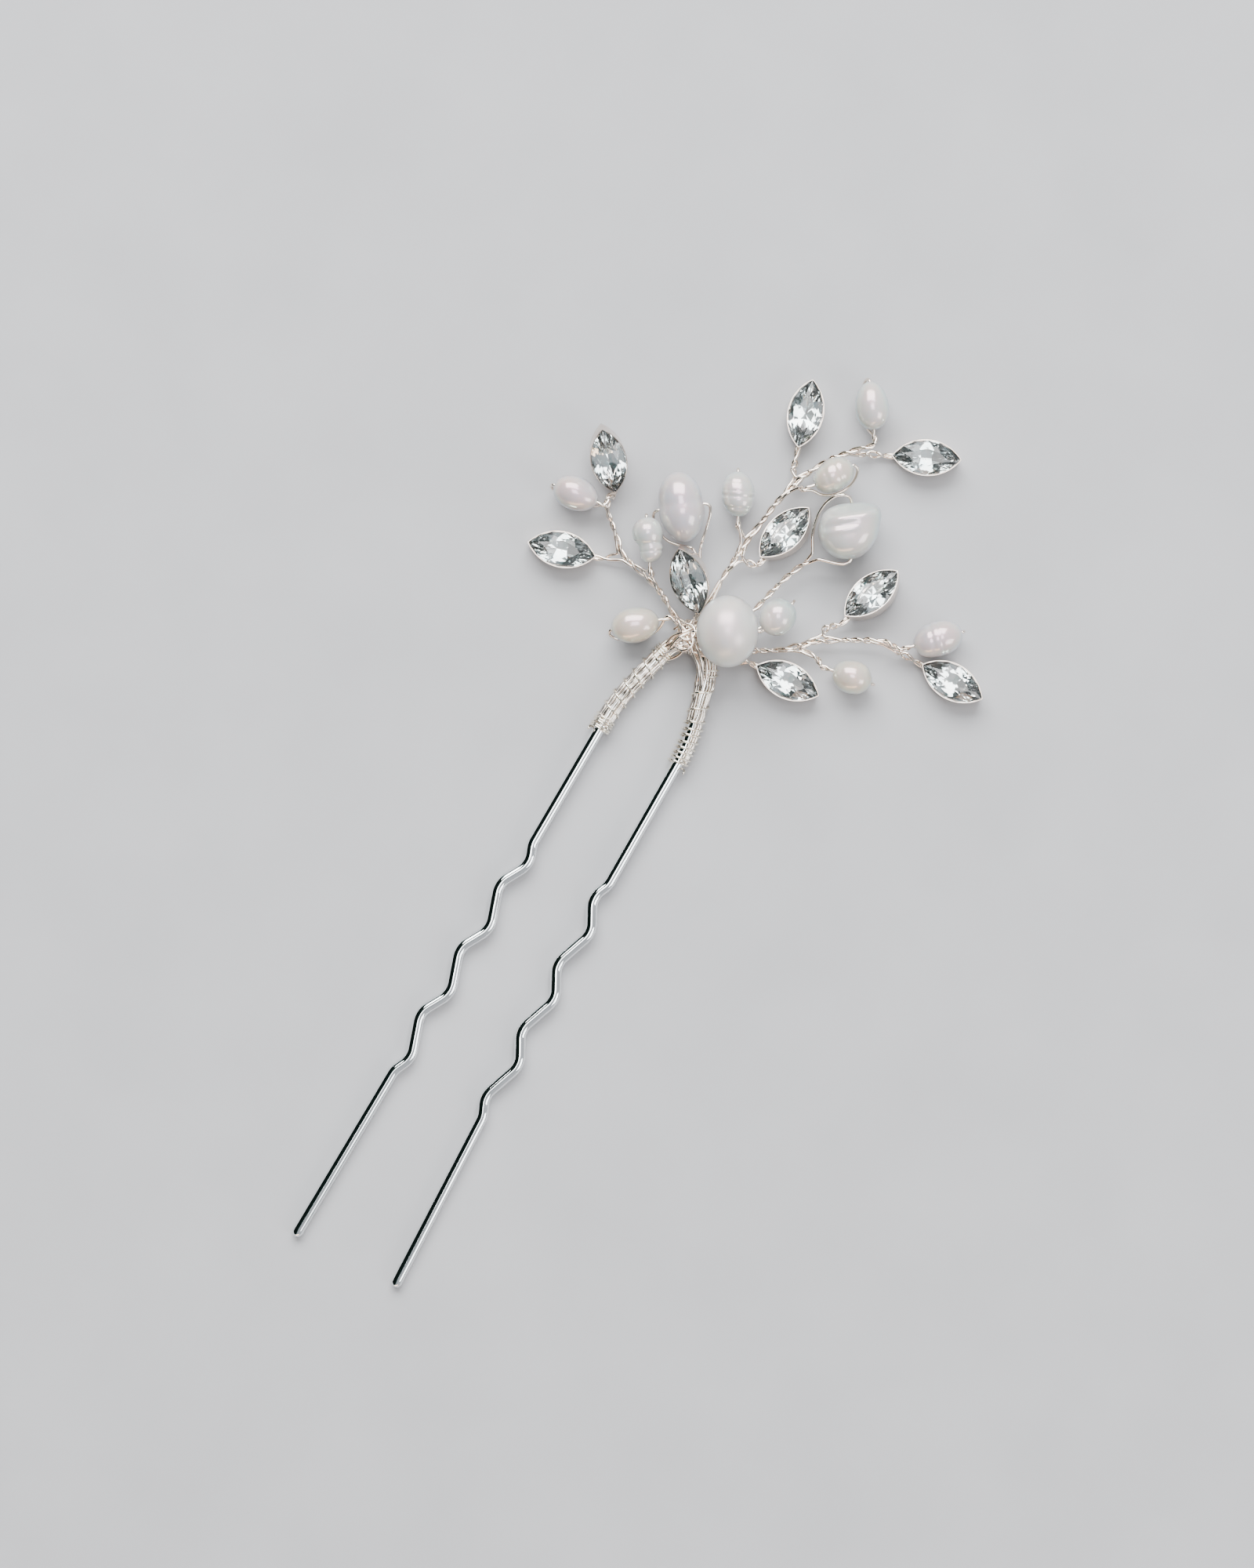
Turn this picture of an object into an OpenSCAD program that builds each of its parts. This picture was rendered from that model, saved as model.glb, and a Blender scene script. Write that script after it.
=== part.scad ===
// Decorative hair pin: a wavy two-legged wire pin whose crown carries a spray of
// threaded freshwater pearls and navette crystals on twisted wire stems.
// The pin lies on z = 0 with its legs along -Y, and the spray points along +Y.

/* [Pin] */
// Diameter of the pin's own wire
pin_wire_d = 1.4; // [1.2:0.1:1.5]
// Half angle between the two slanting arms at the crown
crown_slant = 15; // [14:0.5:16]
// Radius of the crown's bend
crown_radius = 3; // [2.8:0.1:3.2]
// Offset of each wave's corners from the leg's line
wave_height = 1; // [0.6:0.02:1.1]
// Bend radius of the waves
wave_radius = 2.8; // [1.6:0.1:3]

/* [Fine wire] */
// Diameter of the wire of the twisted stems
stem_wire_d = 0.36; // [0.3:0.02:0.4]
// Length of one turn of a twisted stem
twist_pitch = 3.2; // [2:0.1:4]
// Diameter of the stem tails that lie along the arms
tail_wire_d = 0.34; // [0.3:0.02:0.36]
// Diameter of the binding wire
binding_wire_d = 0.28; // [0.2:0.02:0.3]
// Number of tails laid round each arm
tail_count = 14; // [8:1:14]

/* [Pearls] */
// Diameter of the hole drilled through each pearl
pearl_bore_d = 0.8; // [0.6:0.05:0.9]
// Gap between a pearl and the wire that passes round it
pearl_gap = 0.26; // [0.2:0.02:0.3]

/* [Crystals] */
// Length of a navette stone
stone_length = 8; // [7.8:0.1:8]
// Width of a navette stone
stone_width = 4; // [3.8:0.1:4]
// Width of the rim of a setting round its stone
rim_wall = 0.22; // [0.18:0.01:0.26]

/* [Hidden] */
// Middle of the whole object's outline, which is the model's origin
middle = [4.09, -7.8];

pin_r = pin_wire_d / 2;
stem_r = stem_wire_d / 2;
strand_offset = stem_r * 1.04;
tail_r = tail_wire_d / 2;
binding_r = binding_wire_d / 2;
layer_gap = 0.03;
tail_ring = pin_r + layer_gap + tail_r;
binding_ring = tail_ring + tail_r + layer_gap + binding_r;

// Legs, from the crown down: corners of the bent wire as [x, y, bend radius]
shoulder_radius = 25;
shoulder_y = 5.6;
apex_y = 24.8;
shoulder_x = (apex_y - shoulder_y) * tan(crown_slant);
wave_corners = 7;
// Each outward corner sits this share of a step nearer the crown
wave_shift = 0.17;
right_wave_top = [5.25, -14.3];
right_wave_end = [6.1, -46.3];
right_tip = [7.15, -69.7];
left_wave_top = [-5.25, -14.6];
left_wave_end = [-6.05, -46.8];
left_tip = [-6.4, -70.4];
tip_y = left_tip[1];
// The wrapped arms are thicker than the bare legs, so the pin leans on them
arm_rest = binding_ring + binding_r;
lean = atan((arm_rest - pin_r) / -tip_y);

// A setting, from its underside up
setting_floor = 0.25;
ledge_z = 2.2;
end_ledge = 0.35;
side_ledge = 0.28;
stone_fit = 0.06;
setting_height = 2.7;
girdle_z = 2.46;
girdle_thick = 0.14;
crown_height = 0.8;
pavilion_depth = 1.25;
stone_steps = 8;
// The keel and the table as shares of the stone's length and width
keel_share = [0.5, 0.08];
table_share = [0.66, 0.56];
wire_hole_r = 0.48;
wire_hole_length = 2;
wire_z = 0.75;
seat_length = stone_length + stone_fit;
seat_width = stone_width + stone_fit;
setting_length = seat_length + 2 * rim_wall;
setting_width = seat_width + 2 * rim_wall;

// Pearls: [middle, [roll, pitch, azimuth], length along its own axis, width]
far_left_pearl = [[-21.9, 24.9, 2.9], [20, 0, 188], 5.6, 4.2];
double_pearl = [[-11.45, 24.35, 4.4], [0, 0, 124], 5.6, 3.8];
big_oval_pearl = [[-10, 29.9, 3.4], [0, 0, 128], 8.6, 5.7];
ringed_upper_pearl = [[-4.8, 34.7, 2.9], [0, 0, 120], 5.5, 4.3];
top_pearl = [[3.9, 52.1, 2.9], [25, 0, 125], 5.9, 4.2];
looped_pearl = [[4.1, 42.4, 4.2], [-60, 0, 57], 5.2, 4.2];
baroque_pearl = [[9.1, 37.5, 4.0], [0, 0, 30], 8.2, 7];
centre_pearl = [[2.4, 19.5, 6.7], [0, 0, 30], 7.5, 8.8];
small_round_pearl = [[6.8, 24.1, 4.6], [0, 0, 72], 4.7, 4.5];
low_left_pearl = [[-7.7, 14.7, 3.1], [40, 0, 222], 5.9, 4.4];
low_right_pearl = [[18.3, 22.4, 2.8], [0, 0, 11], 5.0, 4.2];
ringed_right_pearl = [[25, 31.6, 3], [0, 0, 46], 6.1, 4.5];

// Crystals: [middle of the setting's underside, [roll, pitch, azimuth]]
left_tip_crystal = [[-21.1, 31.1, 2.0], [0, 26, 132]];
left_low_crystal = [[-20.0, 18.2, 0], [0, 0, 198]];
centre_crystal = [[-4.7, 23.3, 3.4], [-14, 14, 138]];
top_crystal = [[-2.6, 47.3, 0], [0, 0, 108]];
top_right_crystal = [[12.8, 50.0, 0], [0, 0, 26]];
inner_crystal = [[3.1, 33.3, 0.7], [-16, 0, 75]];
right_upper_crystal = [[15.9, 32.1, 0.7], [-16, 0, 70]];
low_crystal = [[11.7, 18.1, 0], [0, 0, 4]];
right_tip_crystal = [[29.1, 28.0, 0], [0, 0, 0]];

// Stem routes, each from its root outwards and short of its pearl or crystal
left_tip_route = [[-2.0, 17.6, 1.8], [-4.5, 18.3, 2.2], [-6.8, 19.6, 2.2], [-9.2, 20.4, 2],
    [-11.4, 20.9, 1.8], [-13.2, 21.4, 1.7], [-14.9, 22.8, 1.7], [-16.5, 24.2, 1.8],
    [-17.6, 25.1, 1.9], [-18.2, 26.4, 2]];
left_low_route = [[-13.5, 20.7, 1.4], [-14.4, 20.4, 1.1]];
far_left_route = [[-18.3, 25.5, 2.5]];
double_route = [[-9.3, 21.3, 2.4], [-9.3, 21.6, 2.6]];
low_left_route = [[-1.8, 16.8, 3.4], [-3.2, 17.5, 3.5]];
centre_crystal_route = [[-0.5, 17.5, 3.4], [-0.8, 18.6, 3.3]];
big_oval_route = [[-0.9, 18, 1.7], [-2.2, 20.3, 1.5], [-3.4, 23.2, 1.4], [-4.6, 25.2, 1.8],
    [-5.3, 25.9, 2.1]];
top_route = [[0.2, 18.1, 1.7], [-0.9, 20.4, 1.7], [-1.3, 24.4, 1.7], [-1.2, 27.5, 1.8],
    [-1, 30.3, 1.8], [-0.6, 33.3, 1.8], [-0.2, 36.3, 1.8], [0.4, 38.6, 1.8],
    [1, 40.5, 1.7], [2.1, 42.8, 1.6], [3.7, 45.2, 1.8], [5.1, 46.8, 2.3]];
ringed_upper_route = [[-1.6, 30.1, 2.3], [-2.2, 30.9, 2.6]];
inner_route = [[-0.5, 28.1, 1.6], [0.5, 28.2, 1.6]];
top_crystal_route = [[-0.2, 39.7, 1.5], [-0.5, 41, 1.1]];
looped_route = [[0.9, 38.6, 2.6], [1.5, 39.1, 3.4]];
top_right_route = [[5, 45.8, 1.4], [6.4, 46.9, 1]];
baroque_route = [[1.3, 17.9, 1.6], [2.9, 20.8, 1.5], [4, 23.8, 1.6], [4.7, 26.6, 1.8],
    [5.5, 29.4, 2.3], [6.6, 31.8, 3.2]];
right_tip_pearl_route = [[3.2, 16.9, 1.6], [4.9, 18.3, 1.5], [6.6, 19.4, 1.5],
    [8.6, 20.6, 1.5], [10.4, 22.2, 1.6], [12.4, 24, 1.8], [15, 25.7, 2], [17.5, 27.1, 2.2],
    [19.8, 28.2, 2.4]];
right_upper_route = [[12.4, 24.8, 1.6], [12.6, 26, 1.6]];
low_right_route = [[10.7, 21.8, 1.8], [12.3, 22.3, 2.2], [13.8, 22.1, 2.6]];
right_tip_route = [[20.3, 27.8, 2], [22.2, 27.9, 1.2]];
low_crystal_route = [[4, 16.1, 1.6], [5.3, 17.1, 1.2]];

// The wire through the centre pearl and the small round one, from the hub and back
centre_riser = [[0.2, 15.6, 3.15], [-0.5, 16, 3.5], [-1.3, 16.9, 4.8], [-1.4, 17.3, 6.2]];
centre_return = [[7.6, 26.9, 4.1], [7.3, 26, 2.5], [6.2, 23, 2], [4.6, 20.3, 1.8],
    [2.4, 17.5, 1.7]];
// The baroque pearl's wire, from its lower mouth round and up to its upper mouth
baroque_low = [[8.9, 33.0, 3.9], [10.8, 33.8, 4]];
baroque_high = [[6.3, 40.6, 4], [4.8, 39.1, 4.1], [4.5, 36.6, 4], [5.2, 34.3, 3.8],
    [6.6, 32.9, 3.7]];
// The two sides of the big oval pearl's wire, from its mouths to its stem
oval_left = [[-12.7, 27.3, 3.3], [-11.9, 26.4, 2.0], [-10.2, 25.5, 1.4], [-8, 25.3, 1.7],
    [-6.4, 26, 2]];
oval_right = [[-6.5, 31.8, 3.4], [-5.9, 30, 3.1], [-5.6, 28, 2.6]];

// Binding: [turns, length along the arm] for each stretch, from the crown down
left_binding = [[3, 1.1], [6, 10], [5, 1.8]];
left_binding_start = 3.9;
right_binding = [[1, 0.4], [3, 6], [4, 3.4], [4, 2.6]];
right_binding_start = 3.4;
hub_binding_plan = [[7, 3.6]];
hub_binding_start = -1.8;
// Tails, along the arm from the crown. Those on the right arm's inner side end sooner
tail_start = 2;
tail_overlap = 0.3;
short_tail_end = 10.4;
// How far across the arm, as a cosine from its outer side, those shorter tails start
bare_side = -0.1;
bend_end = 4.2;
tail_step = 2.4;

// A stem meets its pearl or its setting in line, from these distances
pearl_lead = [1.5, 0.9];
crystal_lead = [0.9, 0.3];
// How far a wire stands out of a pearl's hole before it turns back
loop_reach = 0.5;
// The fold of a stem inside its setting, from the setting's end
fold_depths = [0.4, 1.5];
fold_end = 1.75;
fold_half_width = 0.12;

small_lobe_r = 1.48;
baroque_bore_shift = 0.3;
low_right_point = 0.08;

pin_sides = 12;
bend_step = 9;
// The bent part runs this far into the leg ends, and is this much thinner inside them
tip_overlap = 1;
bend_inset = 0.01;
// The straight leg end starts this far past its last bend
leg_start = 0.5;
wire_sides = 5;
tail_sides = 6;
rings_per_turn = 6;
binding_sides = 5;
binding_rings = 9;
pearl_step = 12;

// ---- vectors and paths ----

function unit(v) = v / norm(v);
function flat(p) = [p[0], p[1]];
function reversed(list) = [for (i = [len(list) - 1:-1:0]) list[i]];
function last(list) = list[len(list) - 1];

function about_x(v, a) = [v[0], v[1] * cos(a) - v[2] * sin(a), v[1] * sin(a) + v[2] * cos(a)];
function about_y(v, a) = [v[0] * cos(a) + v[2] * sin(a), v[1], v[2] * cos(a) - v[0] * sin(a)];
function about_z(v, a) = [v[0] * cos(a) - v[1] * sin(a), v[0] * sin(a) + v[1] * cos(a), v[2]];

// A point of a pearl's or crystal's own frame, in the pin's frame
function placed(item, p) =
    item[0] + about_z(about_y(about_x(p, item[1][0]), -item[1][1]), item[1][2]);

// A smooth curve through the points, with some extra points between each two
function spline(p, between = 3) = [
    for (i = [0:len(p) - 2])
        let (a = p[max(i - 1, 0)], b = p[i], c = p[i + 1], d = p[min(i + 2, len(p) - 1)])
            for (k = [0:between - (i < len(p) - 2 ? 1 : 0)])
                let (t = k / between)
                    (2 * b + (c - a) * t + (2 * a - 5 * b + 4 * c - d) * t * t
                        + (3 * b - a - 3 * c + d) * t * t * t) / 2
];

function lengths(p) =
    [for (i = 0, s = 0; i < len(p); i = i + 1, s = s + (i < len(p) ? norm(p[i] - p[i - 1]) : 0)) s];
function at(p, along, s) =
    [for (axis = [0:2]) lookup(s, [for (i = [0:len(p) - 1]) [along[i], p[i][axis]]])];
function heading(p, along, s) = let (e = 0.15, end = last(along))
    unit(at(p, along, min(s + e, end)) - at(p, along, max(s - e, 0)));

// ---- wire as a closed mesh: [points, faces] ----

function tangents(p) =
    [for (i = [0:len(p) - 1]) unit(p[min(i + 1, len(p) - 1)] - p[max(i - 1, 0)])];
function any_normal(t) = unit(cross(t, abs(t[2]) < 0.8 ? [0, 0, 1] : [1, 0, 0]));
function carried(n, t) = unit(n - (n * t) * t);
function tube(p, r, sides) =
    let (
        t = tangents(p),
        normals = [for (i = 0, n = any_normal(t[0]); i < len(p);
            i = i + 1, n = i < len(p) ? carried(n, t[i]) : n) n],
        rings = [
            for (i = [0:len(p) - 1])
                let (n = normals[i], b = cross(t[i], n))
                    for (k = [0:sides - 1])
                        p[i] + r * (cos(360 * k / sides) * n + sin(360 * k / sides) * b)
        ],
        skin = [
            for (i = [0:len(p) - 2], k = [0:sides - 1])
                let (a = i * sides + k, b = i * sides + (k + 1) % sides)
                    each [[a, a + sides, b + sides], [a, b + sides, b]]
        ],
        top = (len(p) - 1) * sides,
        caps = [[for (k = [0:sides - 1]) k], [for (k = [sides - 1:-1:0]) top + k]]
    )
    [rings, concat(skin, caps)];

function first_index(meshes, i) = i == 0 ? 0 : first_index(meshes, i - 1) + len(meshes[i - 1][0]);

// Several separate wires as one polyhedron
module wires(meshes) {
    points = [for (m = meshes) each m[0]];
    faces = [
        for (i = [0:len(meshes) - 1])
            let (start = first_index(meshes, i))
                for (face = meshes[i][1]) [for (corner = face) corner + start]
    ];
    translate([-middle[0], -middle[1], 0]) polyhedron(points, faces);
}

// ---- twisted stems ----

// One strand of a twisted pair. The twist is counted from the stem's outer end
function strand(route, phase) =
    let (
        p = spline(route),
        along = lengths(p),
        total = last(along),
        count = max(2, ceil(total * rings_per_turn / twist_pitch))
    )
    [
        for (i = [0:count])
            let (
                s = total * i / count,
                t = heading(p, along, s),
                side = unit(cross([0, 0, 1], t)),
                up = cross(t, side),
                a = 360 * (s - total) / twist_pitch + phase
            )
                at(p, along, s) + strand_offset * (cos(a) * side + sin(a) * up)
    ];

// A stem is one wire: out along the first strand, round its pearl or stone, and back
function stem(route, loop) =
    tube(concat(strand(route, 0), loop, reversed(strand(route, 180))), stem_r, wire_sides);

// Through the pearl's hole and back round its outside
function pearl_loop(pearl) =
    let (
        half = pearl[2] / 2,
        a = half + loop_reach,
        b = pearl[3] / 2 + pearl_gap + stem_r,
        path = concat(
            [[-half - 0.4, 0, 0], [half + 0.2, 0, 0]],
            [for (turn = [16:18.5:164]) [a * cos(turn), 0, -b * sin(turn)]]
        )
    )
    [for (p = path) placed(pearl, p)];
function pearl_stem(pearl, route) =
    stem(
        concat(route, [for (gap = pearl_lead) placed(pearl, [-pearl[2] / 2 - gap, 0, 0])]),
        pearl_loop(pearl)
    );

// Into the wire hole of the setting, and folded back under the stone
function crystal_loop(crystal) =
    let (
        way_in = [for (x = fold_depths) [x, strand_offset]],
        turn = [[fold_end, fold_half_width], [fold_end, -fold_half_width]],
        way_out = [for (x = reversed(fold_depths)) [x, -strand_offset]]
    )
    [
        for (p = concat(way_in, turn, way_out))
            placed(crystal, [p[0] - setting_length / 2, p[1], wire_z])
    ];
function crystal_stem(crystal, route) =
    stem(
        concat(
            route,
            [for (gap = crystal_lead) placed(crystal, [-setting_length / 2 - gap, 0, wire_z])]
        ),
        crystal_loop(crystal)
    );

// ---- the pin's bent wire ----

function wave(top, end, outwards) = [
    for (k = [0:wave_corners - 1])
        let (
                share = (k + 0.5 - wave_shift * (k % 2)) / wave_corners,
                p = top + (end - top) * share
            )
            [p[0] + outwards * (k % 2 == 0 ? -1 : 1) * wave_height, p[1], wave_radius]
];
function leg(side, top, end, tip) = concat(
    [[side * shoulder_x, shoulder_y, shoulder_radius]],
    [[top[0], top[1], wave_radius]],
    wave(top, end, side),
    [[end[0], end[1], wave_radius]],
    [[tip[0], tip[1], 0]]
);
pin_route = concat(
    reversed(leg(-1, left_wave_top, left_wave_end, left_tip)),
    [[0, apex_y, crown_radius]],
    leg(1, right_wave_top, right_wave_end, right_tip)
);

function direction(route, i) = unit(flat(route[i + 1]) - flat(route[i]));
function bearing(v) = atan2(v[1], v[0]);
// Angle by which the wire turns at a corner, anticlockwise positive
function turn_at(route, i) =
    let (a = direction(route, i - 1), b = direction(route, i))
    atan2(a[0] * b[1] - a[1] * b[0], a * b);
function trim(route, i) =
    i == 0 || i == len(route) - 1 ? 0 : route[i][2] * tan(abs(turn_at(route, i)) / 2);
function arc_middle(route, i) =
    let (d = direction(route, i - 1), side = sign(turn_at(route, i)))
    flat(route[i]) - d * trim(route, i) + [-d[1], d[0]] * side * route[i][2];
function arc_start(route, i) = let (d = direction(route, i - 1), side = sign(turn_at(route, i)))
    bearing([d[1], -d[0]] * side);

// The wire's middle line as points, with each bend in short steps
function middle_line(route) = [
    for (i = [0:len(route) - 1])
        if (i == 0 || i == len(route) - 1) [route[i][0], route[i][1], 0]
        else
            let (steps = max(2, ceil(abs(turn_at(route, i)) / bend_step)), m = arc_middle(route, i))
                for (k = [0:steps])
                    let (a = arc_start(route, i) + turn_at(route, i) * k / steps)
                        [m[0] + route[i][2] * cos(a), m[1] + route[i][2] * sin(a), 0]
];

// The straight end of a leg, from its last bend to its tip
module leg_end(tip, before) {
    run = flat(tip) - before;
    translate([before[0], before[1], 0])
        rotate([0, 90, bearing(run)]) cylinder(h = norm(run), r = pin_r, $fn = 64);
}

module bent_wire(route) {
    n = len(route) - 1;
    first = flat(route[1]) - direction(route, 0) * (trim(route, 1) + leg_start);
    final = flat(route[n - 1]) + direction(route, n - 1) * (trim(route, n - 1) + leg_start);
    line = middle_line(route);
    bends = concat(
        [[first[0], first[1], 0] - tip_overlap * tangents(line)[0]],
        [for (i = [1:len(line) - 2]) line[i]],
        [[final[0], final[1], 0] + tip_overlap * last(tangents(line))]
    );
    mesh = tube(bends, pin_r - bend_inset, pin_sides);
    polyhedron(mesh[0], mesh[1]);
    leg_end(route[0], first);
    leg_end(route[n], final);
}

// From the pin's own plane to where it lies: its tips and its wrapped arms on z = 0
module as_it_lies() {
    translate([-middle[0], -middle[1], 0])
        translate([0, tip_y, pin_r])
            rotate([lean, 0, 0])
                translate([0, -tip_y, 0]) children();
}
function lying(p) = [p[0], tip_y + (p[1] - tip_y) * cos(lean) - p[2] * sin(lean),
    pin_r + (p[1] - tip_y) * sin(lean) + p[2] * cos(lean)];

pin_line = middle_line(pin_route);
pin_along = lengths(pin_line);
crown_at = pin_along[floor(len(pin_along) / 2)];

// A point round the arm: s is measured from the crown, and a goes round the wire
function round_arm(side, s, ring, a) =
    let (
        where = crown_at + side * s,
        t = heading(pin_line, pin_along, where) * side,
        n = [-t[1], t[0], 0] * side
    )
    lying(at(pin_line, pin_along, where) + ring * (cos(a) * n + [0, 0, sin(a)]));

// How far along the arm the binding is after some turns
function wound(plan, turns, i = 0) =
    i == len(plan) ? 0
    : turns <= plan[i][0] ? plan[i][1] * turns / plan[i][0]
    : plan[i][1] + wound(plan, turns - plan[i][0], i + 1);
function all_turns(plan, i = 0) = i == len(plan) ? 0 : plan[i][0] + all_turns(plan, i + 1);
function arm_binding(side, start, plan, ring = binding_ring) =
    let (count = all_turns(plan) * binding_rings)
    tube(
        [for (k = [0:count]) let (turns = k / binding_rings)
            round_arm(side, start + wound(plan, turns), ring, 360 * turns)],
        binding_r, binding_sides
    );

// Close steps round the crown's tight bend, and wider ones down the arm
function arm_tail(side, from, to, a) =
    let (steps = ceil((to - bend_end) / tail_step))
    tube(
        concat(
            [for (k = [0:3]) round_arm(side, from + (bend_end - from) * k / 4, tail_ring, a)],
            [for (k = [0:steps])
                round_arm(side, bend_end + (to - bend_end) * k / steps, tail_ring, a)]
        ),
        tail_r, tail_sides
    );

// ---- pearls and stones ----

module item_place(item) {
    translate(item[0] - [middle[0], middle[1], 0])
        rotate([item[1][0], -item[1][1], item[1][2]]) children();
}

// An oval pearl drilled lengthwise. A positive point draws its outer end out
module drilled_pearl(pearl, point = 0) {
    bore = pearl_bore_d / 2;
    edge = asin(bore / (pearl[3] / 2));
    steps = ceil((180 - 2 * edge) / pearl_step);
    item_place(pearl)
        rotate([0, 90, 0])
            rotate_extrude($fn = 72)
                polygon([
                    for (k = [0:steps])
                        let (
                            a = edge + (180 - 2 * edge) * k / steps,
                            waist = k == 0 || k == steps ? 1 : 1 - point * cos(a)
                        )
                            [pearl[3] / 2 * sin(a) * waist, pearl[2] / 2 * cos(a)]
                ]);
}

// A pearl grown as a large and a small lobe, drilled through both
module two_lobed_pearl(pearl, small_r) {
    bore = pearl_bore_d / 2;
    big_r = pearl[3] / 2;
    big_z = pearl[2] / 2 - big_r;
    small_z = small_r - pearl[2] / 2;
    gap = big_z - small_z;
    meet = (gap * gap + small_r * small_r - big_r * big_r) / (2 * gap);
    big_stop = acos((meet - gap) / big_r);
    small_start = acos(meet / small_r);
    big_edge = asin(bore / big_r);
    small_edge = 180 - asin(bore / small_r);
    item_place(pearl)
        rotate([0, 90, 0])
            rotate_extrude($fn = 72)
                polygon(concat(
                    [for (k = [0:10]) let (a = big_edge + (big_stop - big_edge) * k / 10)
                        [big_r * sin(a), big_z + big_r * cos(a)]],
                    [for (k = [1:7]) let (a = small_start + (small_edge - small_start) * k / 7)
                        [small_r * sin(a), small_z + small_r * cos(a)]]
                ));
}

// A pearl turned about its own length and drilled across it
module cross_drilled_pearl(pearl, outline, bore_shift = 0) {
    item_place(pearl)
        difference() {
            rotate([0, 90, 0]) rotate_extrude($fn = 72) polygon(outline);
            translate([bore_shift, 0, 0])
                rotate([90, 0, 0])
                    cylinder(h = pearl[3] + 2, r = pearl_bore_d / 2, center = true, $fn = 32);
        }
}
oval_outline = [for (a = [0:pearl_step:180])
    [big_oval_pearl[3] / 2 * sin(a), big_oval_pearl[2] / 2 * cos(a)]];
baroque_outline = [[0, 4.1], [1.3, 3.95], [2.3, 3.4], [2.9, 2.5], [3.25, 1.3], [3.45, 0],
    [3.35, -1.4], [3, -2.6], [2.4, -3.4], [1.4, -3.9], [0, -4.1]];

// The pointed oval of a navette
module navette(length, width) {
    a = length / 2;
    b = width / 2;
    r = (a * a + b * b) / (2 * b);
    intersection() {
        translate([0, b - r]) circle(r = r, $fn = 120);
        translate([0, r - b]) circle(r = r, $fn = 120);
    }
}

module setting(item) {
    color("silver")
        item_place(item)
            difference() {
                linear_extrude(setting_height) navette(setting_length, setting_width);
                translate([0, 0, setting_floor])
                    linear_extrude(setting_height)
                        navette(stone_length - 2 * end_ledge, stone_width - 2 * side_ledge);
                translate([0, 0, ledge_z])
                    linear_extrude(setting_height) navette(seat_length, seat_width);
                translate([-setting_length / 2 - 1, 0, wire_z])
                    rotate([0, 90, 0])
                        cylinder(h = wire_hole_length + 1, r = wire_hole_r, $fn = 32);
            }
}

// One ring of a cut stone: the girdle's outline shrunk in length and width
function stone_ring(long, wide, z) =
    let (
        a = stone_length / 2,
        b = stone_width / 2,
        r = (a * a + b * b) / (2 * b),
        reach = asin(a / r)
    )
    [
        for (side = [1, -1], k = [0:stone_steps - 1])
            let (t = side * reach * (2 * k / stone_steps - 1))
                [r * sin(t) * long, side * (r * cos(t) - r + b) * wide, z]
    ];
module crystal(item) {
    count = 2 * stone_steps;
    rings = [
        stone_ring(keel_share[0], keel_share[1], girdle_z - pavilion_depth),
        stone_ring(1, 1, girdle_z),
        stone_ring(1, 1, girdle_z + girdle_thick),
        stone_ring(table_share[0], table_share[1], girdle_z + girdle_thick + crown_height)
    ];
    color("aliceblue", 0.6)
        item_place(item)
            polyhedron(
                [for (ring = rings) each ring],
                concat(
                    [
                        for (i = [0:2], k = [0:count - 1])
                            let (a = i * count + k, b = i * count + (k + 1) % count)
                                each [[a, b, b + count], [a, b + count, a + count]]
                    ],
                    [[for (k = [count - 1:-1:0]) k], [for (k = [0:count - 1]) 3 * count + k]]
                )
            );
}

// ---- sub-parts ----

module pin_frame() {
    color("gainsboro") as_it_lies() bent_wire(pin_route);
}

module tail_wires_left() {
    end = left_binding_start + wound(left_binding, all_turns(left_binding)) - tail_overlap;
    color("silver")
        wires([for (k = [0:tail_count - 1]) arm_tail(-1, tail_start, end, 360 * k / tail_count)]);
}

// Low on the right arm the tails lie on its outer side only
module tail_wires_right() {
    end = right_binding_start + wound(right_binding, all_turns(right_binding)) - tail_overlap;
    color("silver")
        wires([
            for (k = [0:tail_count - 1])
                let (a = 360 * k / tail_count)
                    arm_tail(1, tail_start, cos(a) > bare_side ? end : short_tail_end, a)
        ]);
}

module binding_left() {
    color("lightgray") wires([arm_binding(-1, left_binding_start, left_binding)]);
}
module binding_right() {
    color("lightgray") wires([arm_binding(1, right_binding_start, right_binding)]);
}
module binding_hub() {
    color("lightgray") wires([arm_binding(1, hub_binding_start, hub_binding_plan)]);
}

module wire_left_branch() {
    color("silver") wires([
        crystal_stem(left_tip_crystal, left_tip_route),
        crystal_stem(left_low_crystal, left_low_route),
        pearl_stem(far_left_pearl, far_left_route),
        pearl_stem(double_pearl, double_route)
    ]);
}
module wire_low_left_pearl() {
    color("silver") wires([pearl_stem(low_left_pearl, low_left_route)]);
}
module wire_centre_crystal() {
    color("silver") wires([crystal_stem(centre_crystal, centre_crystal_route)]);
}
module wire_big_oval_pearl() {
    mouth = big_oval_pearl[3] / 2 + loop_reach;
    loop = concat(
        reversed(oval_left),
        [for (side = [1, -1]) placed(big_oval_pearl, [0, side * mouth, 0])],
        oval_right
    );
    color("silver")
        wires([tube(concat(strand(big_oval_route, 0), spline(loop, 2),
            reversed(strand(big_oval_route, 180))), stem_r, wire_sides)]);
}
module wire_top_branch() {
    color("silver") wires([
        pearl_stem(top_pearl, top_route),
        pearl_stem(ringed_upper_pearl, ringed_upper_route),
        pearl_stem(looped_pearl, looped_route),
        crystal_stem(inner_crystal, inner_route),
        crystal_stem(top_crystal, top_crystal_route),
        crystal_stem(top_right_crystal, top_right_route)
    ]);
}
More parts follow.
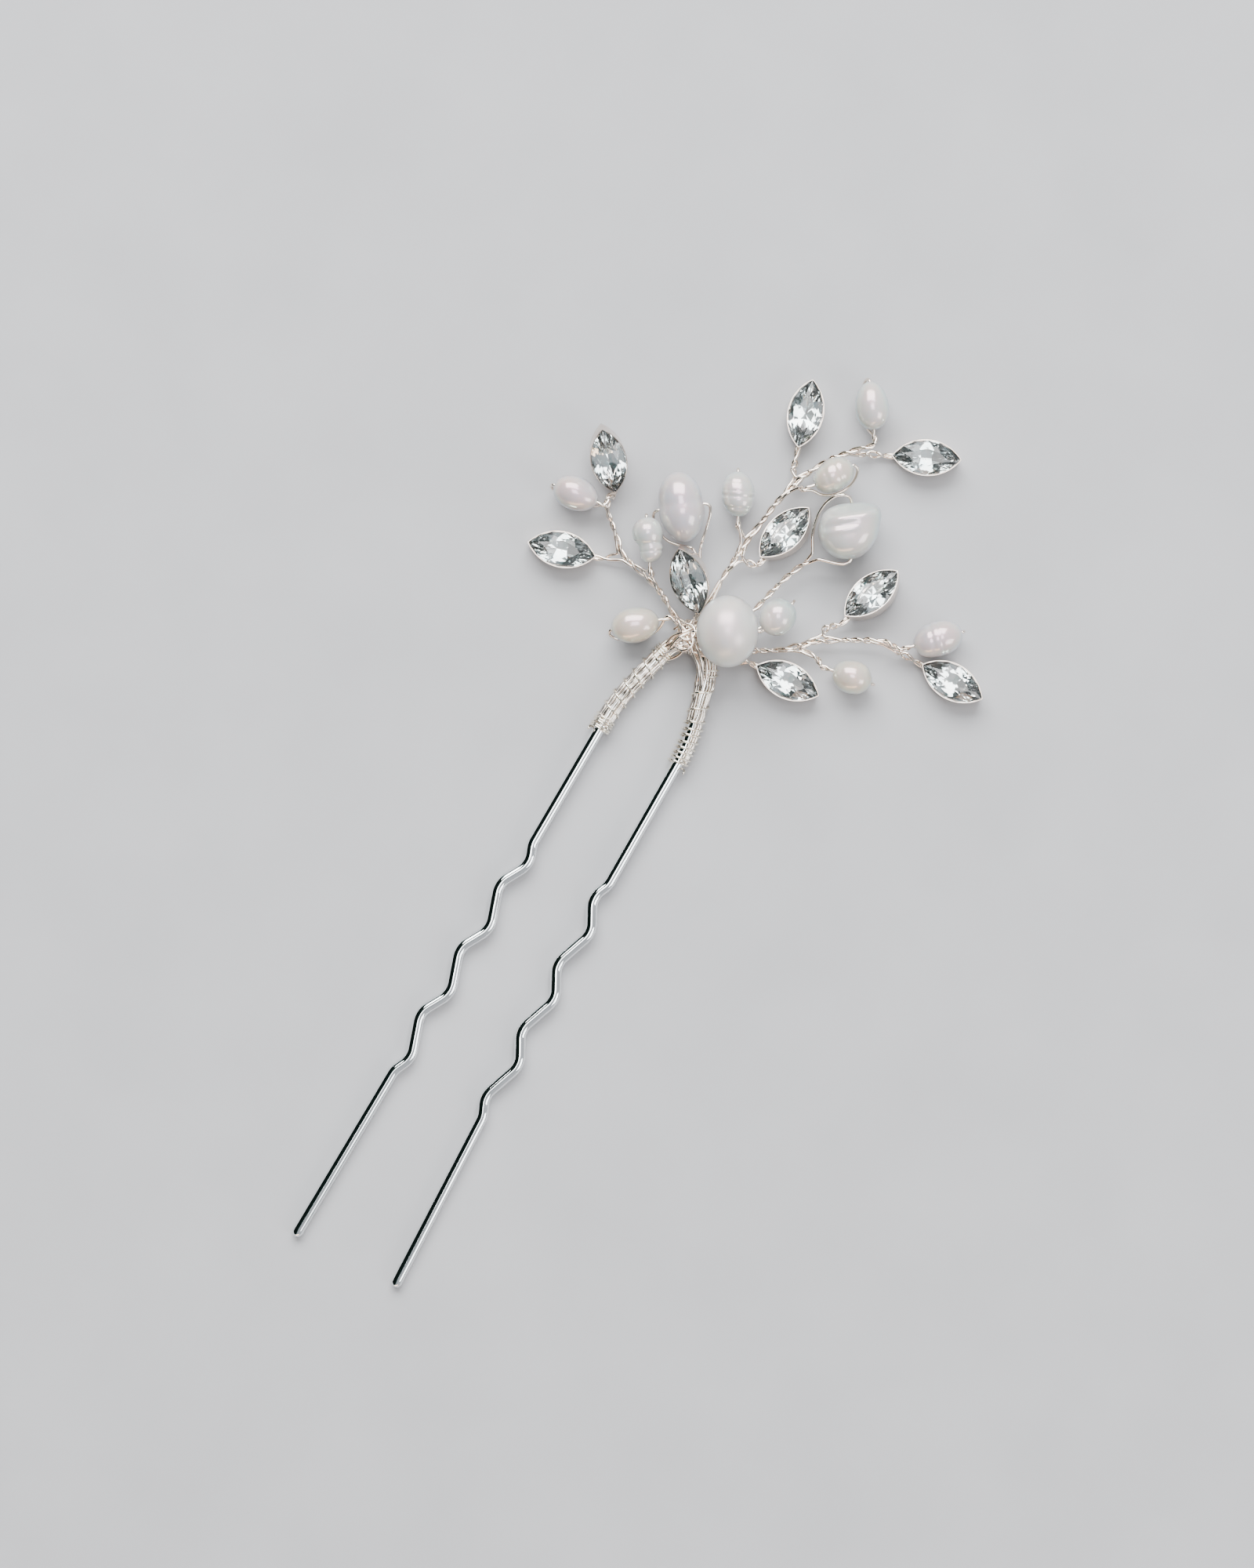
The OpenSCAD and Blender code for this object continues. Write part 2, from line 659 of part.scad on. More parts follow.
module wire_baroque_pearl() {
    mouth = baroque_pearl[3] / 2 + loop_reach;
    loop = concat(
        baroque_low,
        [for (side = [-1, 1]) placed(baroque_pearl, [baroque_bore_shift, side * mouth, 0])],
        baroque_high
    );
    color("silver")
        wires([tube(concat(strand(baroque_route, 180), spline(loop, 2),
            reversed(strand(baroque_route, 0))), stem_r, wire_sides)]);
}
module wire_centre_pearls() {
    first = centre_pearl[2] / 2;
    second = small_round_pearl[2] / 2;
    path = concat(
        centre_riser,
        [for (x = [-first - 0.2, first + 0.2]) placed(centre_pearl, [x, 0, 0])],
        [for (x = [-second - 0.2, second + 0.2]) placed(small_round_pearl, [x, 0, 0])],
        centre_return
    );
    color("silver") wires([tube(spline(path, 3), stem_r, wire_sides)]);
}
module wire_right_branch() {
    color("silver") wires([
        pearl_stem(ringed_right_pearl, right_tip_pearl_route),
        pearl_stem(low_right_pearl, low_right_route),
        crystal_stem(right_upper_crystal, right_upper_route),
        crystal_stem(right_tip_crystal, right_tip_route)
    ]);
}
module wire_low_crystal() {
    color("silver") wires([crystal_stem(low_crystal, low_crystal_route)]);
}

module pearl_far_left() { color("ivory") drilled_pearl(far_left_pearl); }
module pearl_double() { color("ivory") two_lobed_pearl(double_pearl, small_lobe_r); }
module pearl_big_oval() { color("ivory") cross_drilled_pearl(big_oval_pearl, oval_outline); }
module pearl_ringed_upper() { color("ivory") drilled_pearl(ringed_upper_pearl); }
module pearl_top() { color("ivory") drilled_pearl(top_pearl); }
module pearl_looped() { color("ivory") drilled_pearl(looped_pearl); }
module pearl_baroque() {
    color("ivory") cross_drilled_pearl(baroque_pearl, baroque_outline, baroque_bore_shift);
}
module pearl_centre() { color("ivory") drilled_pearl(centre_pearl); }
module pearl_small_round() { color("ivory") drilled_pearl(small_round_pearl); }
module pearl_low_left() { color("ivory") drilled_pearl(low_left_pearl); }
module pearl_low_right() { color("ivory") drilled_pearl(low_right_pearl, low_right_point); }
module pearl_ringed_right() { color("ivory") drilled_pearl(ringed_right_pearl); }

module setting_left_tip() { setting(left_tip_crystal); }
module setting_left_low() { setting(left_low_crystal); }
module setting_centre() { setting(centre_crystal); }
module setting_top() { setting(top_crystal); }
module setting_top_right() { setting(top_right_crystal); }
module setting_inner() { setting(inner_crystal); }
module setting_right_upper() { setting(right_upper_crystal); }
module setting_low() { setting(low_crystal); }
module setting_right_tip() { setting(right_tip_crystal); }

module crystal_left_tip() { crystal(left_tip_crystal); }
module crystal_left_low() { crystal(left_low_crystal); }
module crystal_centre() { crystal(centre_crystal); }
module crystal_top() { crystal(top_crystal); }
module crystal_top_right() { crystal(top_right_crystal); }
module crystal_inner() { crystal(inner_crystal); }
module crystal_right_upper() { crystal(right_upper_crystal); }
module crystal_low() { crystal(low_crystal); }
module crystal_right_tip() { crystal(right_tip_crystal); }

pin_frame();
tail_wires_left();
tail_wires_right();
binding_left();
binding_right();
binding_hub();
wire_left_branch();
wire_low_left_pearl();
wire_centre_crystal();
wire_big_oval_pearl();
wire_top_branch();
wire_baroque_pearl();
wire_centre_pearls();
wire_right_branch();
wire_low_crystal();
pearl_far_left();
pearl_double();
pearl_big_oval();
pearl_ringed_upper();
pearl_top();
pearl_looped();
pearl_baroque();
pearl_centre();
pearl_small_round();
pearl_low_left();
pearl_low_right();
pearl_ringed_right();
setting_left_tip();
setting_left_low();
setting_centre();
setting_top();
setting_top_right();
setting_inner();
setting_right_upper();
setting_low();
setting_right_tip();
crystal_left_tip();
crystal_left_low();
crystal_centre();
crystal_top();
crystal_top_right();
crystal_inner();
crystal_right_upper();
crystal_low();
crystal_right_tip();
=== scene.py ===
import math

import bpy
import numpy as np
from mathutils import Matrix, Vector


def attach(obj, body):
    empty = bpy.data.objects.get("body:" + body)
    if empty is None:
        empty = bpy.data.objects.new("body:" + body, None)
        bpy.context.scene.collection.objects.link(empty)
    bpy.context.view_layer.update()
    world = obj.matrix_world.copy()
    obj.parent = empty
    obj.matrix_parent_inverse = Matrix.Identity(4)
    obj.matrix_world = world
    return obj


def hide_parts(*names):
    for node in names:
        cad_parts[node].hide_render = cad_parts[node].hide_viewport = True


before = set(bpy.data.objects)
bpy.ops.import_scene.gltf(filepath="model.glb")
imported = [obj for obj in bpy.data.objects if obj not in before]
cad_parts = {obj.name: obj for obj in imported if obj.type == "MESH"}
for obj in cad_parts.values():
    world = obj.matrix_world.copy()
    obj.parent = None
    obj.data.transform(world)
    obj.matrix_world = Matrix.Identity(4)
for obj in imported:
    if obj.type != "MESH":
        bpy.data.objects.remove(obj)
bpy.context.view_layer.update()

MM = 0.001  # metres in a millimetre
# Middle of the outline in the millimetre frame that all routes below are written in
MIDDLE = np.array([4.09, -7.8, 0.0])
ROOT = "pin"

# ---------------------------------------------------------------- sizes, in mm

PIN_R = 0.7
STEM_R = 0.18
TAIL_R = 0.17
BINDING_R = 0.14
LAYER_GAP = 0.03
TAIL_RING = PIN_R + LAYER_GAP + TAIL_R
BINDING_RING = TAIL_RING + TAIL_R + LAYER_GAP + BINDING_R
TWIST_PITCH = 3.2
STRAND_OFFSET = STEM_R * 1.04
BORE_R = 0.3
# Between a pearl and the wire that passes round it
PEARL_GAP = 0.26
TAIL_COUNT = 14
# Where the tails start and, on the right arm's inner side, stop, along the arm
TAIL_START = 2.0
SHORT_TAIL_END = 10.4
# The inner side is where the cosine of a tail's angle round the arm is no more than this
BARE_SIDE = -0.1
# Where the crown's own binding starts, counted from the crown towards the right arm
HUB_START = -1.8

CROWN_RADIUS = 3.0
APEX_Y = 24.8
SHOULDER_Y = 5.6
SHOULDER_RADIUS = 25.0
WAVE_RADIUS = 2.8
WAVE_HEIGHT = 1.0
WAVE_CORNERS = 7
# Each outward corner sits this share of a step nearer the crown
WAVE_SHIFT = 0.17
RIGHT_LEG = dict(side=1, top=(5.25, -14.3), end=(6.1, -46.3), tip=(7.15, -69.7))
LEFT_LEG = dict(side=-1, top=(-5.25, -14.6), end=(-6.05, -46.8), tip=(-6.4, -70.4))
# Each arm's slant from upright, in degrees
CROWN_SLANT = 15
SHOULDER_X = (APEX_Y - SHOULDER_Y) * math.tan(math.radians(CROWN_SLANT))
TIP_Y = LEFT_LEG["tip"][1]
ARM_REST = BINDING_RING + BINDING_R
LEAN = math.atan((ARM_REST - PIN_R) / -TIP_Y)

STONE_LENGTH, STONE_WIDTH = 8.0, 4.0
# How much wider the seat is than the stone
STONE_FIT = 0.06
RIM_WALL = 0.22
SETTING_LENGTH = STONE_LENGTH + STONE_FIT + 2 * RIM_WALL
SETTING_WIDTH = STONE_WIDTH + STONE_FIT + 2 * RIM_WALL
SETTING_HEIGHT = 2.7
# The glass fills its cup almost to the rim's outer edge
GLASS_LENGTH, GLASS_WIDTH = 8.22, 4.22
# The stone's depth below its girdle, and heights above the setting's underside
PAVILION = 1.75
LEDGE_Z = 2.2
GIRDLE_Z = 2.46
WIRE_Z = 0.75
# How far the stem's wire reaches into the setting before it folds back
FOLD_DEPTH = 1.75
# The baroque pearl's bore is off its middle by this much
BAROQUE_BORE_X = 0.3

# Pearls: middle, [roll, pitch, azimuth], length, width. The bore runs along the length, but
# across it in the big oval and the baroque pearl
PEARLS = {
    "far_left": ((-21.9, 24.9, 2.9), (20, 0, 188), 5.6, 4.2),
    "double": ((-11.45, 24.35, 4.4), (0, 0, 124), 5.6, 3.8),
    "big_oval": ((-10.0, 29.9, 3.4), (0, 0, 128), 8.6, 5.7),
    "ringed_upper": ((-4.8, 34.7, 2.9), (0, 0, 120), 5.5, 4.3),
    "top": ((3.9, 52.1, 2.9), (25, 0, 125), 5.9, 4.2),
    "looped": ((4.1, 42.4, 4.2), (-60, 0, 57), 5.2, 4.2),
    "baroque": ((9.1, 37.5, 4.0), (0, 0, 30), 8.2, 7.0),
    "centre": ((2.4, 19.5, 6.7), (0, 0, 30), 7.5, 8.8),
    "small_round": ((6.8, 24.1, 4.6), (0, 0, 72), 4.7, 4.5),
    "low_left": ((-7.7, 14.7, 3.1), (40, 0, 222), 5.9, 4.4),
    "low_right": ((18.3, 22.4, 2.8), (0, 0, 11), 5.0, 4.2),
    "ringed_right": ((25.0, 31.6, 3.0), (0, 0, 46), 6.1, 4.5),
}

# Crystals: middle of the setting's underside, [roll, pitch, azimuth]
CRYSTALS = {
    "left_tip": ((-21.1, 31.1, 2.0), (0, 26, 132)),
    "left_low": ((-20.0, 18.2, 0.0), (0, 0, 198)),
    "centre": ((-4.7, 23.3, 3.4), (-14, 14, 138)),
    "top": ((-2.6, 47.3, 0.0), (0, 0, 108)),
    "top_right": ((12.8, 50.0, 0.0), (0, 0, 26)),
    "inner": ((3.1, 33.3, 0.7), (-16, 0, 75)),
    "right_upper": ((15.9, 32.1, 0.7), (-16, 0, 70)),
    "low": ((11.7, 18.1, 0.0), (0, 0, 4)),
    "right_tip": ((29.1, 28.0, 0.0), (0, 0, 0)),
}

# Stem routes, each from its root outwards
LEFT_TIP = [(-2.0, 17.6, 1.8), (-4.5, 18.3, 2.2), (-6.8, 19.6, 2.2), (-9.2, 20.4, 2),
            (-11.4, 20.9, 1.8), (-13.2, 21.4, 1.7), (-14.9, 22.8, 1.7), (-16.5, 24.2, 1.8),
            (-17.6, 25.1, 1.9), (-18.2, 26.4, 2)]
LEFT_LOW = [(-13.5, 20.7, 1.4), (-14.4, 20.4, 1.1)]
FAR_LEFT = [(-18.3, 25.5, 2.5)]
DOUBLE = [(-9.3, 21.3, 2.4), (-9.3, 21.6, 2.6)]
LOW_LEFT = [(-1.8, 16.8, 3.4), (-3.2, 17.5, 3.5)]
CENTRE_CRYSTAL = [(-0.5, 17.5, 3.4), (-0.8, 18.6, 3.3)]
BIG_OVAL = [(-0.9, 18, 1.7), (-2.2, 20.3, 1.5), (-3.4, 23.2, 1.4), (-4.6, 25.2, 1.8),
            (-5.3, 25.9, 2.1)]
TOP = [(0.2, 18.1, 1.7), (-0.9, 20.4, 1.7), (-1.3, 24.4, 1.7), (-1.2, 27.5, 1.8),
       (-1, 30.3, 1.8), (-0.6, 33.3, 1.8), (-0.2, 36.3, 1.8), (0.4, 38.6, 1.8),
       (1, 40.5, 1.7), (2.1, 42.8, 1.6), (3.7, 45.2, 1.8), (5.1, 46.8, 2.3)]
RINGED_UPPER = [(-1.6, 30.1, 2.3), (-2.2, 30.9, 2.6)]
INNER = [(-0.5, 28.1, 1.6), (0.5, 28.2, 1.6)]
TOP_CRYSTAL = [(-0.2, 39.7, 1.5), (-0.5, 41, 1.1)]
LOOPED = [(0.9, 38.6, 2.6), (1.5, 39.1, 3.4)]
TOP_RIGHT = [(5, 45.8, 1.4), (6.4, 46.9, 1)]
BAROQUE = [(1.3, 17.9, 1.6), (2.9, 20.8, 1.5), (4, 23.8, 1.6), (4.7, 26.6, 1.8),
           (5.5, 29.4, 2.3), (6.6, 31.8, 3.2)]
RIGHT_TIP_PEARL = [(3.2, 16.9, 1.6), (4.9, 18.3, 1.5), (6.6, 19.4, 1.5), (8.6, 20.6, 1.5),
                   (10.4, 22.2, 1.6), (12.4, 24, 1.8), (15, 25.7, 2), (17.5, 27.1, 2.2),
                   (19.8, 28.2, 2.4)]
RIGHT_UPPER = [(12.4, 24.8, 1.6), (12.6, 26, 1.6)]
LOW_RIGHT = [(10.7, 21.8, 1.8), (12.3, 22.3, 2.2), (13.8, 22.1, 2.6)]
RIGHT_TIP = [(20.3, 27.8, 2), (22.2, 27.9, 1.2)]
LOW_CRYSTAL = [(4, 16.1, 1.6), (5.3, 17.1, 1.2)]
CENTRE_RISER = [(0.2, 15.6, 3.15), (-0.5, 16, 3.5), (-1.3, 16.9, 4.8), (-1.4, 17.3, 6.2)]
CENTRE_RETURN = [(7.6, 26.9, 4.1), (7.45, 26.3, 2.6), (6.7, 24.4, 1.9), (6.0, 22.6, 1.8),
                 (4.6, 20.3, 1.8), (2.4, 17.5, 1.7)]
BAROQUE_LOW = [(7.6, 32.7, 3.7), (9.4, 33.2, 3.9), (10.7, 33.7, 4)]
BAROQUE_HIGH = [(7.25, 41.1, 4.3), (6.4, 41.0, 4.9), (5.5, 40.3, 4.7), (4.95, 39.1, 4.4),
                (4.8, 37.8, 4.2), (5.0, 36.3, 4.0), (5.5, 34.8, 3.8), (6.3, 33.5, 3.7),
                (6.6, 32.9, 3.7)]
OVAL_LEFT = [(-12.6, 27.5, 3.1), (-11.9, 26.6, 2.3), (-10.6, 25.8, 1.8), (-9.2, 25.5, 2.0),
             (-7.7, 25.8, 2.5), (-6.4, 26.3, 2.7)]
OVAL_RIGHT = [(-7.05, 31.9, 3.4), (-6.45, 30.8, 3.2), (-6.1, 29.4, 3.0), (-5.85, 28.2, 2.6),
              (-5.6, 27.1, 2.2)]

# Strands that cross over the crown, from the stems' roots down to the arms
HUB_STRANDS = [
    [(-2.6, 18.4, 2.6), (-1.4, 17.3, 3.6), (0.2, 16.0, 4.1), (1.7, 14.6, 3.6), (3.0, 12.6, 2.4)],
    [(-2.3, 17.3, 2.3), (-0.9, 16.2, 3.4), (0.9, 14.9, 3.5), (2.3, 13.4, 3.0), (3.4, 11.6, 2.2)],
    [(1.3, 17.9, 1.8), (0.3, 17.0, 2.9), (-1.2, 15.7, 3.4), (-2.7, 13.9, 2.9), (-3.3, 12.2, 2.1)],
    [(0.2, 18.1, 1.9), (-0.5, 17.2, 2.8), (-1.8, 16.2, 3.1), (-3.0, 14.6, 2.6), (-3.6, 13.0, 1.9)],
    [(3.2, 16.9, 1.8), (1.9, 16.9, 2.7), (0.2, 16.3, 3.2), (-1.6, 15.3, 3.2), (-2.9, 13.4, 2.9)],
    [(-0.9, 18.0, 1.9), (-0.2, 17.2, 3.0), (0.9, 16.2, 3.5), (2.2, 14.9, 3.3), (3.1, 13.2, 2.7)],
    [(-1.8, 16.8, 3.3), (-0.6, 15.9, 3.9), (0.6, 15.0, 3.7), (1.8, 13.7, 3.2), (2.8, 12.2, 2.3)],
    [(4.0, 16.1, 1.7), (2.9, 16.1, 2.7), (1.3, 15.6, 3.7), (-0.4, 15.3, 3.8), (-2.0, 14.9, 3.3),
     (-3.1, 13.6, 2.3)],
    [(-3.2, 17.4, 3.2), (-1.9, 16.4, 3.7), (-1.1, 14.9, 3.6), (-1.6, 13.6, 2.8), (-2.4, 12.9, 2.2)],
    [(-1.3, 18.2, 3.2), (-1.1, 17.0, 3.6), (-0.1, 15.4, 4.0), (1.4, 14.2, 3.5), (2.2, 12.4, 2.6)],
    # Loose turns beside the centre pearl
    [(-3.4, 16.6, 2.2), (-2.7, 17.7, 3.0), (-1.5, 18.1, 3.5), (-0.8, 17.1, 3.9), (-1.5, 16.1, 4.0),
     (-2.5, 16.3, 3.4), (-2.9, 17.3, 2.6), (-2.2, 18.6, 2.2)],
    [(-3.0, 15.2, 1.9), (-2.6, 16.3, 2.8), (-1.4, 16.9, 3.7), (-0.4, 16.2, 4.2), (-0.9, 15.0, 4.1),
     (-2.2, 14.9, 3.4), (-2.9, 15.9, 2.5), (-2.4, 17.2, 2.0)],
    [(-1.9, 19.0, 2.2), (-1.4, 18.0, 3.4), (-2.1, 16.9, 3.8), (-3.0, 15.9, 3.2), (-3.3, 14.6, 2.6)],
    [(-0.9, 19.4, 2.0), (-0.8, 18.2, 3.0), (-1.6, 17.1, 3.6), (-2.4, 15.8, 3.6), (-2.6, 14.4, 3.0)],
    # Strands that run up beside the centre pearl with the top branch's stem
    [(-1.6, 17.0, 2.6), (-1.5, 18.6, 2.4), (-1.6, 20.4, 2.1), (-1.5, 22.6, 2.1), (-1.5, 24.6, 2.0)],
    [(-0.6, 17.2, 2.4), (-1.0, 18.8, 2.3), (-0.9, 20.8, 2.2), (-1.1, 22.8, 2.2), (-1.2, 24.2, 2.1)],
    [(-2.1, 17.4, 2.2), (-1.9, 18.8, 2.0), (-2.0, 20.2, 1.8), (-2.4, 21.8, 1.7), (-3.0, 23.0, 1.6)],
]

# Binding: [turns, length along the arm] for each stretch, from the crown down
LEFT_BINDING = [(3, 1.1), (6, 10), (5, 1.8)]
LEFT_START = 3.9
RIGHT_BINDING = [(1, 0.4), (3, 6), (4, 3.4), (4, 2.6)]
RIGHT_START = 3.4
HUB_BINDING = [(7, 3.6)]

# ---------------------------------------------------------------- vectors and paths


def turn(axis, degrees):
    return np.array(Matrix.Rotation(math.radians(degrees), 3, axis))


def placed(item, points):
    """Points of a pearl's or crystal's own frame, in the pin's frame."""
    roll, pitch, azimuth = item[1]
    m = turn("Z", azimuth) @ turn("Y", -pitch) @ turn("X", roll)
    return np.array(item[0]) + np.atleast_2d(np.array(points, float)) @ m.T


def unit(v):
    return v / np.maximum(np.linalg.norm(v, axis=-1, keepdims=True), 1e-12)


def lengths(p):
    """How far along the path each of its points is."""
    return np.concatenate([[0], np.cumsum(np.linalg.norm(np.diff(p, axis=0), axis=1))])


def spline(points, step):
    """A smooth curve through the points, sampled about every step."""
    p = np.array(points, float)
    h = np.maximum(np.linalg.norm(np.diff(p, axis=0), axis=1), 1e-6)[:, None]
    slope = np.diff(p, axis=0) / h
    m = np.empty_like(p)
    m[0], m[-1] = slope[0], slope[-1]
    m[1:-1] = (slope[:-1] * h[1:] + slope[1:] * h[:-1]) / (h[:-1] + h[1:])
    out = []
    for i in range(len(p) - 1):
        count = max(1, int(round(h[i, 0] / step)))
        t = (np.arange(count) / count)[:, None]
        a = (2 * t**3 - 3 * t**2 + 1) * p[i] + (t**3 - 2 * t**2 + t) * m[i] * h[i]
        b = (3 * t**2 - 2 * t**3) * p[i + 1] + (t**3 - t**2) * m[i + 1] * h[i]
        out.append(a + b)
    out.append(p[-1:])
    return np.concatenate(out)


def at(p, along, s):
    """The path's points at the distances s along it."""
    return np.stack([np.interp(s, along, p[:, k]) for k in range(3)], axis=-1)


def headings(p, along, s, reach=0.12):
    """Unit vectors along the path at the distances s."""
    end = along[-1]
    return unit(at(p, along, np.minimum(s + reach, end)) - at(p, along, np.maximum(s - reach, 0)))


def join(*lists):
    return np.concatenate([np.atleast_2d(np.array(x, float)) for x in lists])


# ---------------------------------------------------------------- meshes


class Shape:
    """Points and faces collected in millimetres, made into one piece at the end."""

    def __init__(self):
        self.points, self.faces, self.slots, self.total = [], [], [], 0

    def add(self, points, faces, slots=None):
        """slots holds each face's material, the first one for all if left out."""
        self.points.append(np.asarray(points, float))
        self.faces += [tuple(int(i) + self.total for i in f) for f in faces]
        self.slots += slots or [0] * len(faces)
        self.total += len(points)

    def piece(self, name, materials, slot, nodes, body=ROOT, smooth=True):
        mesh = bpy.data.meshes.new(name)
        verts = (np.concatenate(self.points) - MIDDLE) * MM
        mesh.from_pydata(verts.tolist(), [], self.faces)
        mesh.polygons.foreach_set("material_index", self.slots)
        mesh.polygons.foreach_set("use_smooth", [smooth] * len(self.faces))
        mesh.validate()
        mesh.update()
        for m in materials:
            mesh.materials.append(m)
        obj = bpy.data.objects.new(name, mesh)
        bpy.context.scene.collection.objects.link(obj)
        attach(obj, body)
        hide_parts(*nodes)
        return obj


def tube(shape, path, radius, sides=12, tip=0.5):
    """Sweeps a round wire along the path, with its ends rounded over by tip times the radius."""
    p = np.array(path, float)
    moved = np.linalg.norm(np.diff(p, axis=0), axis=1) > 1e-5
    p = p[np.concatenate([[True], moved])]
    t = unit(np.gradient(p, axis=0))
    n = np.cross(t[0], [0, 0, 1.0] if abs(t[0][2]) < 0.8 else [1.0, 0, 0])
    normals = []
    for k in range(len(p)):
        n = unit(n - (n @ t[k]) * t[k])
        normals.append(n)
    normals = np.array(normals)
    binormals = np.cross(t, normals)
    r = np.broadcast_to(np.asarray(radius, float), (len(p),))
    start = [(p[0] + t[0] * r[0] * tip * (1 - math.sin(math.acos(b))), 0, r[0] * b)
             for b in (0.3, 0.75)]
    end = [(p[-1] - t[-1] * r[-1] * tip * (1 - math.sin(math.acos(b))), len(p) - 1, r[-1] * b)
           for b in (0.75, 0.3)]
    inner = [(p[k], k, r[k]) for k in range(1, len(p) - 1)]
    first = (p[0] + t[0] * r[0] * tip, 0, r[0])
    final = (p[-1] - t[-1] * r[-1] * tip, len(p) - 1, r[-1])
    stations = start + [first] + inner + [final] + end
    angles = 2 * np.pi * np.arange(sides) / sides
    ring = np.array([
        c + rad * (np.cos(angles)[:, None] * normals[k] + np.sin(angles)[:, None] * binormals[k])
        for c, k, rad in stations
    ]).reshape(-1, 3)
    faces = []
    for i in range(len(stations) - 1):
        for k in range(sides):
            a, b = i * sides + k, i * sides + (k + 1) % sides
            faces.append((a, b, b + sides, a + sides))
    last_ring = (len(stations) - 1) * sides
    faces.append(tuple(range(sides - 1, -1, -1)))
    faces.append(tuple(last_ring + k for k in range(sides)))
    shape.add(ring, faces)


def add_rings(shape, item, skin, bore):
    """A pearl's closed surface: rings over its skin and back through its bore."""
    grid = np.concatenate([skin, bore])
    rings, around = grid.shape[:2]
    faces = []
    for i in range(rings):
        for k in range(around):
            j, m = (i + 1) % rings, (k + 1) % around
            faces.append((i * around + k, i * around + m, j * around + m, j * around + k))
    shape.add(placed(item, grid.reshape(-1, 3)), faces)


# ---------------------------------------------------------------- the pin's wire


def corners():
    """The bends of the pin's wire as x, y and radius, from the left tip round to the right."""

    def leg(side, top, end, tip):
        top, end = np.array(top), np.array(end)
        waves = []
        for k in range(WAVE_CORNERS):
            x, y = top + (end - top) * (k + 0.5 - WAVE_SHIFT * (k % 2)) / WAVE_CORNERS
            waves.append((x + side * (-1 if k % 2 == 0 else 1) * WAVE_HEIGHT, y, WAVE_RADIUS))
        return (
            [(side * SHOULDER_X, SHOULDER_Y, SHOULDER_RADIUS), (*top, WAVE_RADIUS)]
            + waves
            + [(*end, WAVE_RADIUS), (*tip, 0)]
        )

    return leg(**LEFT_LEG)[::-1] + [(0, APEX_Y, CROWN_RADIUS)] + leg(**RIGHT_LEG)


def pin_line(bend_step=2.5, straight_step=1.0):
    """The middle line of the bent wire, in its own plane."""
    c = np.array(corners())
    out = [np.array([c[0][0], c[0][1], 0.0])]
    for i in range(1, len(c) - 1):
        before, after = unit(c[i][:2] - c[i - 1][:2]), unit(c[i + 1][:2] - c[i][:2])
        angle = math.atan2(before[0] * after[1] - before[1] * after[0], before @ after)
        side, r = math.copysign(1, angle), c[i][2]
        from_point = c[i][:2] - before * r * math.tan(abs(angle) / 2)
        middle = from_point + np.array([-before[1], before[0]]) * side * r
        first = math.atan2(*(from_point - middle)[::-1])
        steps = max(3, math.ceil(math.degrees(abs(angle)) / bend_step))
        for k in range(steps + 1):
            a = first + angle * k / steps
            out.append(np.array([middle[0] + r * math.cos(a), middle[1] + r * math.sin(a), 0.0]))
    out.append(np.array([c[-1][0], c[-1][1], 0.0]))
    full = [out[0]]
    for a, b in zip(out[:-1], out[1:]):
        count = max(1, int(np.linalg.norm(b - a) / straight_step))
        full += [a + (b - a) * k / count for k in range(1, count + 1)]
    return np.array(full)


LINE = pin_line()
ALONG = lengths(LINE)
CROWN_AT = ALONG[np.argmax(LINE[:, 1])]


def lying(p):
    """From the pin's own plane to where it lies, leaning on its wrapped arms."""
    p = np.atleast_2d(p)
    c, s = math.cos(LEAN), math.sin(LEAN)
    y = p[:, 1] - TIP_Y
    return np.stack([p[:, 0], TIP_Y + y * c - p[:, 2] * s, PIN_R + y * s + p[:, 2] * c], axis=1)


def round_arm(side, s, ring, degrees):
    """Points round an arm: s from the crown, ring from the wire's middle, degrees round it."""
    s, ring, a = np.broadcast_arrays(np.asarray(s, float), ring, np.radians(degrees))
    where = CROWN_AT + side * s
    t = headings(LINE, ALONG, where) * side
    n = np.stack([-t[:, 1], t[:, 0], np.zeros(len(s))], axis=1) * side
    up = np.array([0, 0, 1.0])
    out = ring[:, None] * (np.cos(a)[:, None] * n + np.sin(a)[:, None] * up)
    return lying(at(LINE, ALONG, where) + out)


def wound(plan, turns):
    """How far along the arm a binding is after so many turns."""
    marks = np.cumsum([[0, 0]] + [list(step) for step in plan], axis=0)
    return np.interp(turns, marks[:, 0], marks[:, 1])


def all_turns(plan):
    return sum(step[0] for step in plan)


# ---------------------------------------------------------------- twisted stems


def soften(path, reach=0.2, step=0.1):
    """The same path with its sharp turns eased, as a bent wire's are."""
    p = np.array(path, float)
    along = lengths(p)
    count = max(8, int(along[-1] / step))
    fine = at(p, along, np.linspace(0, along[-1], count))
    wide = 6
    weights = np.exp(-0.5 * (np.arange(-wide, wide + 1) * step / reach) ** 2)
    weights /= weights.sum()
    padded = np.concatenate([
        2 * fine[0] - fine[wide:0:-1], fine, 2 * fine[-1] - fine[-2 : -wide - 2 : -1]
    ])
    return np.stack([np.convolve(padded[:, k], weights, "valid") for k in range(3)], axis=1)


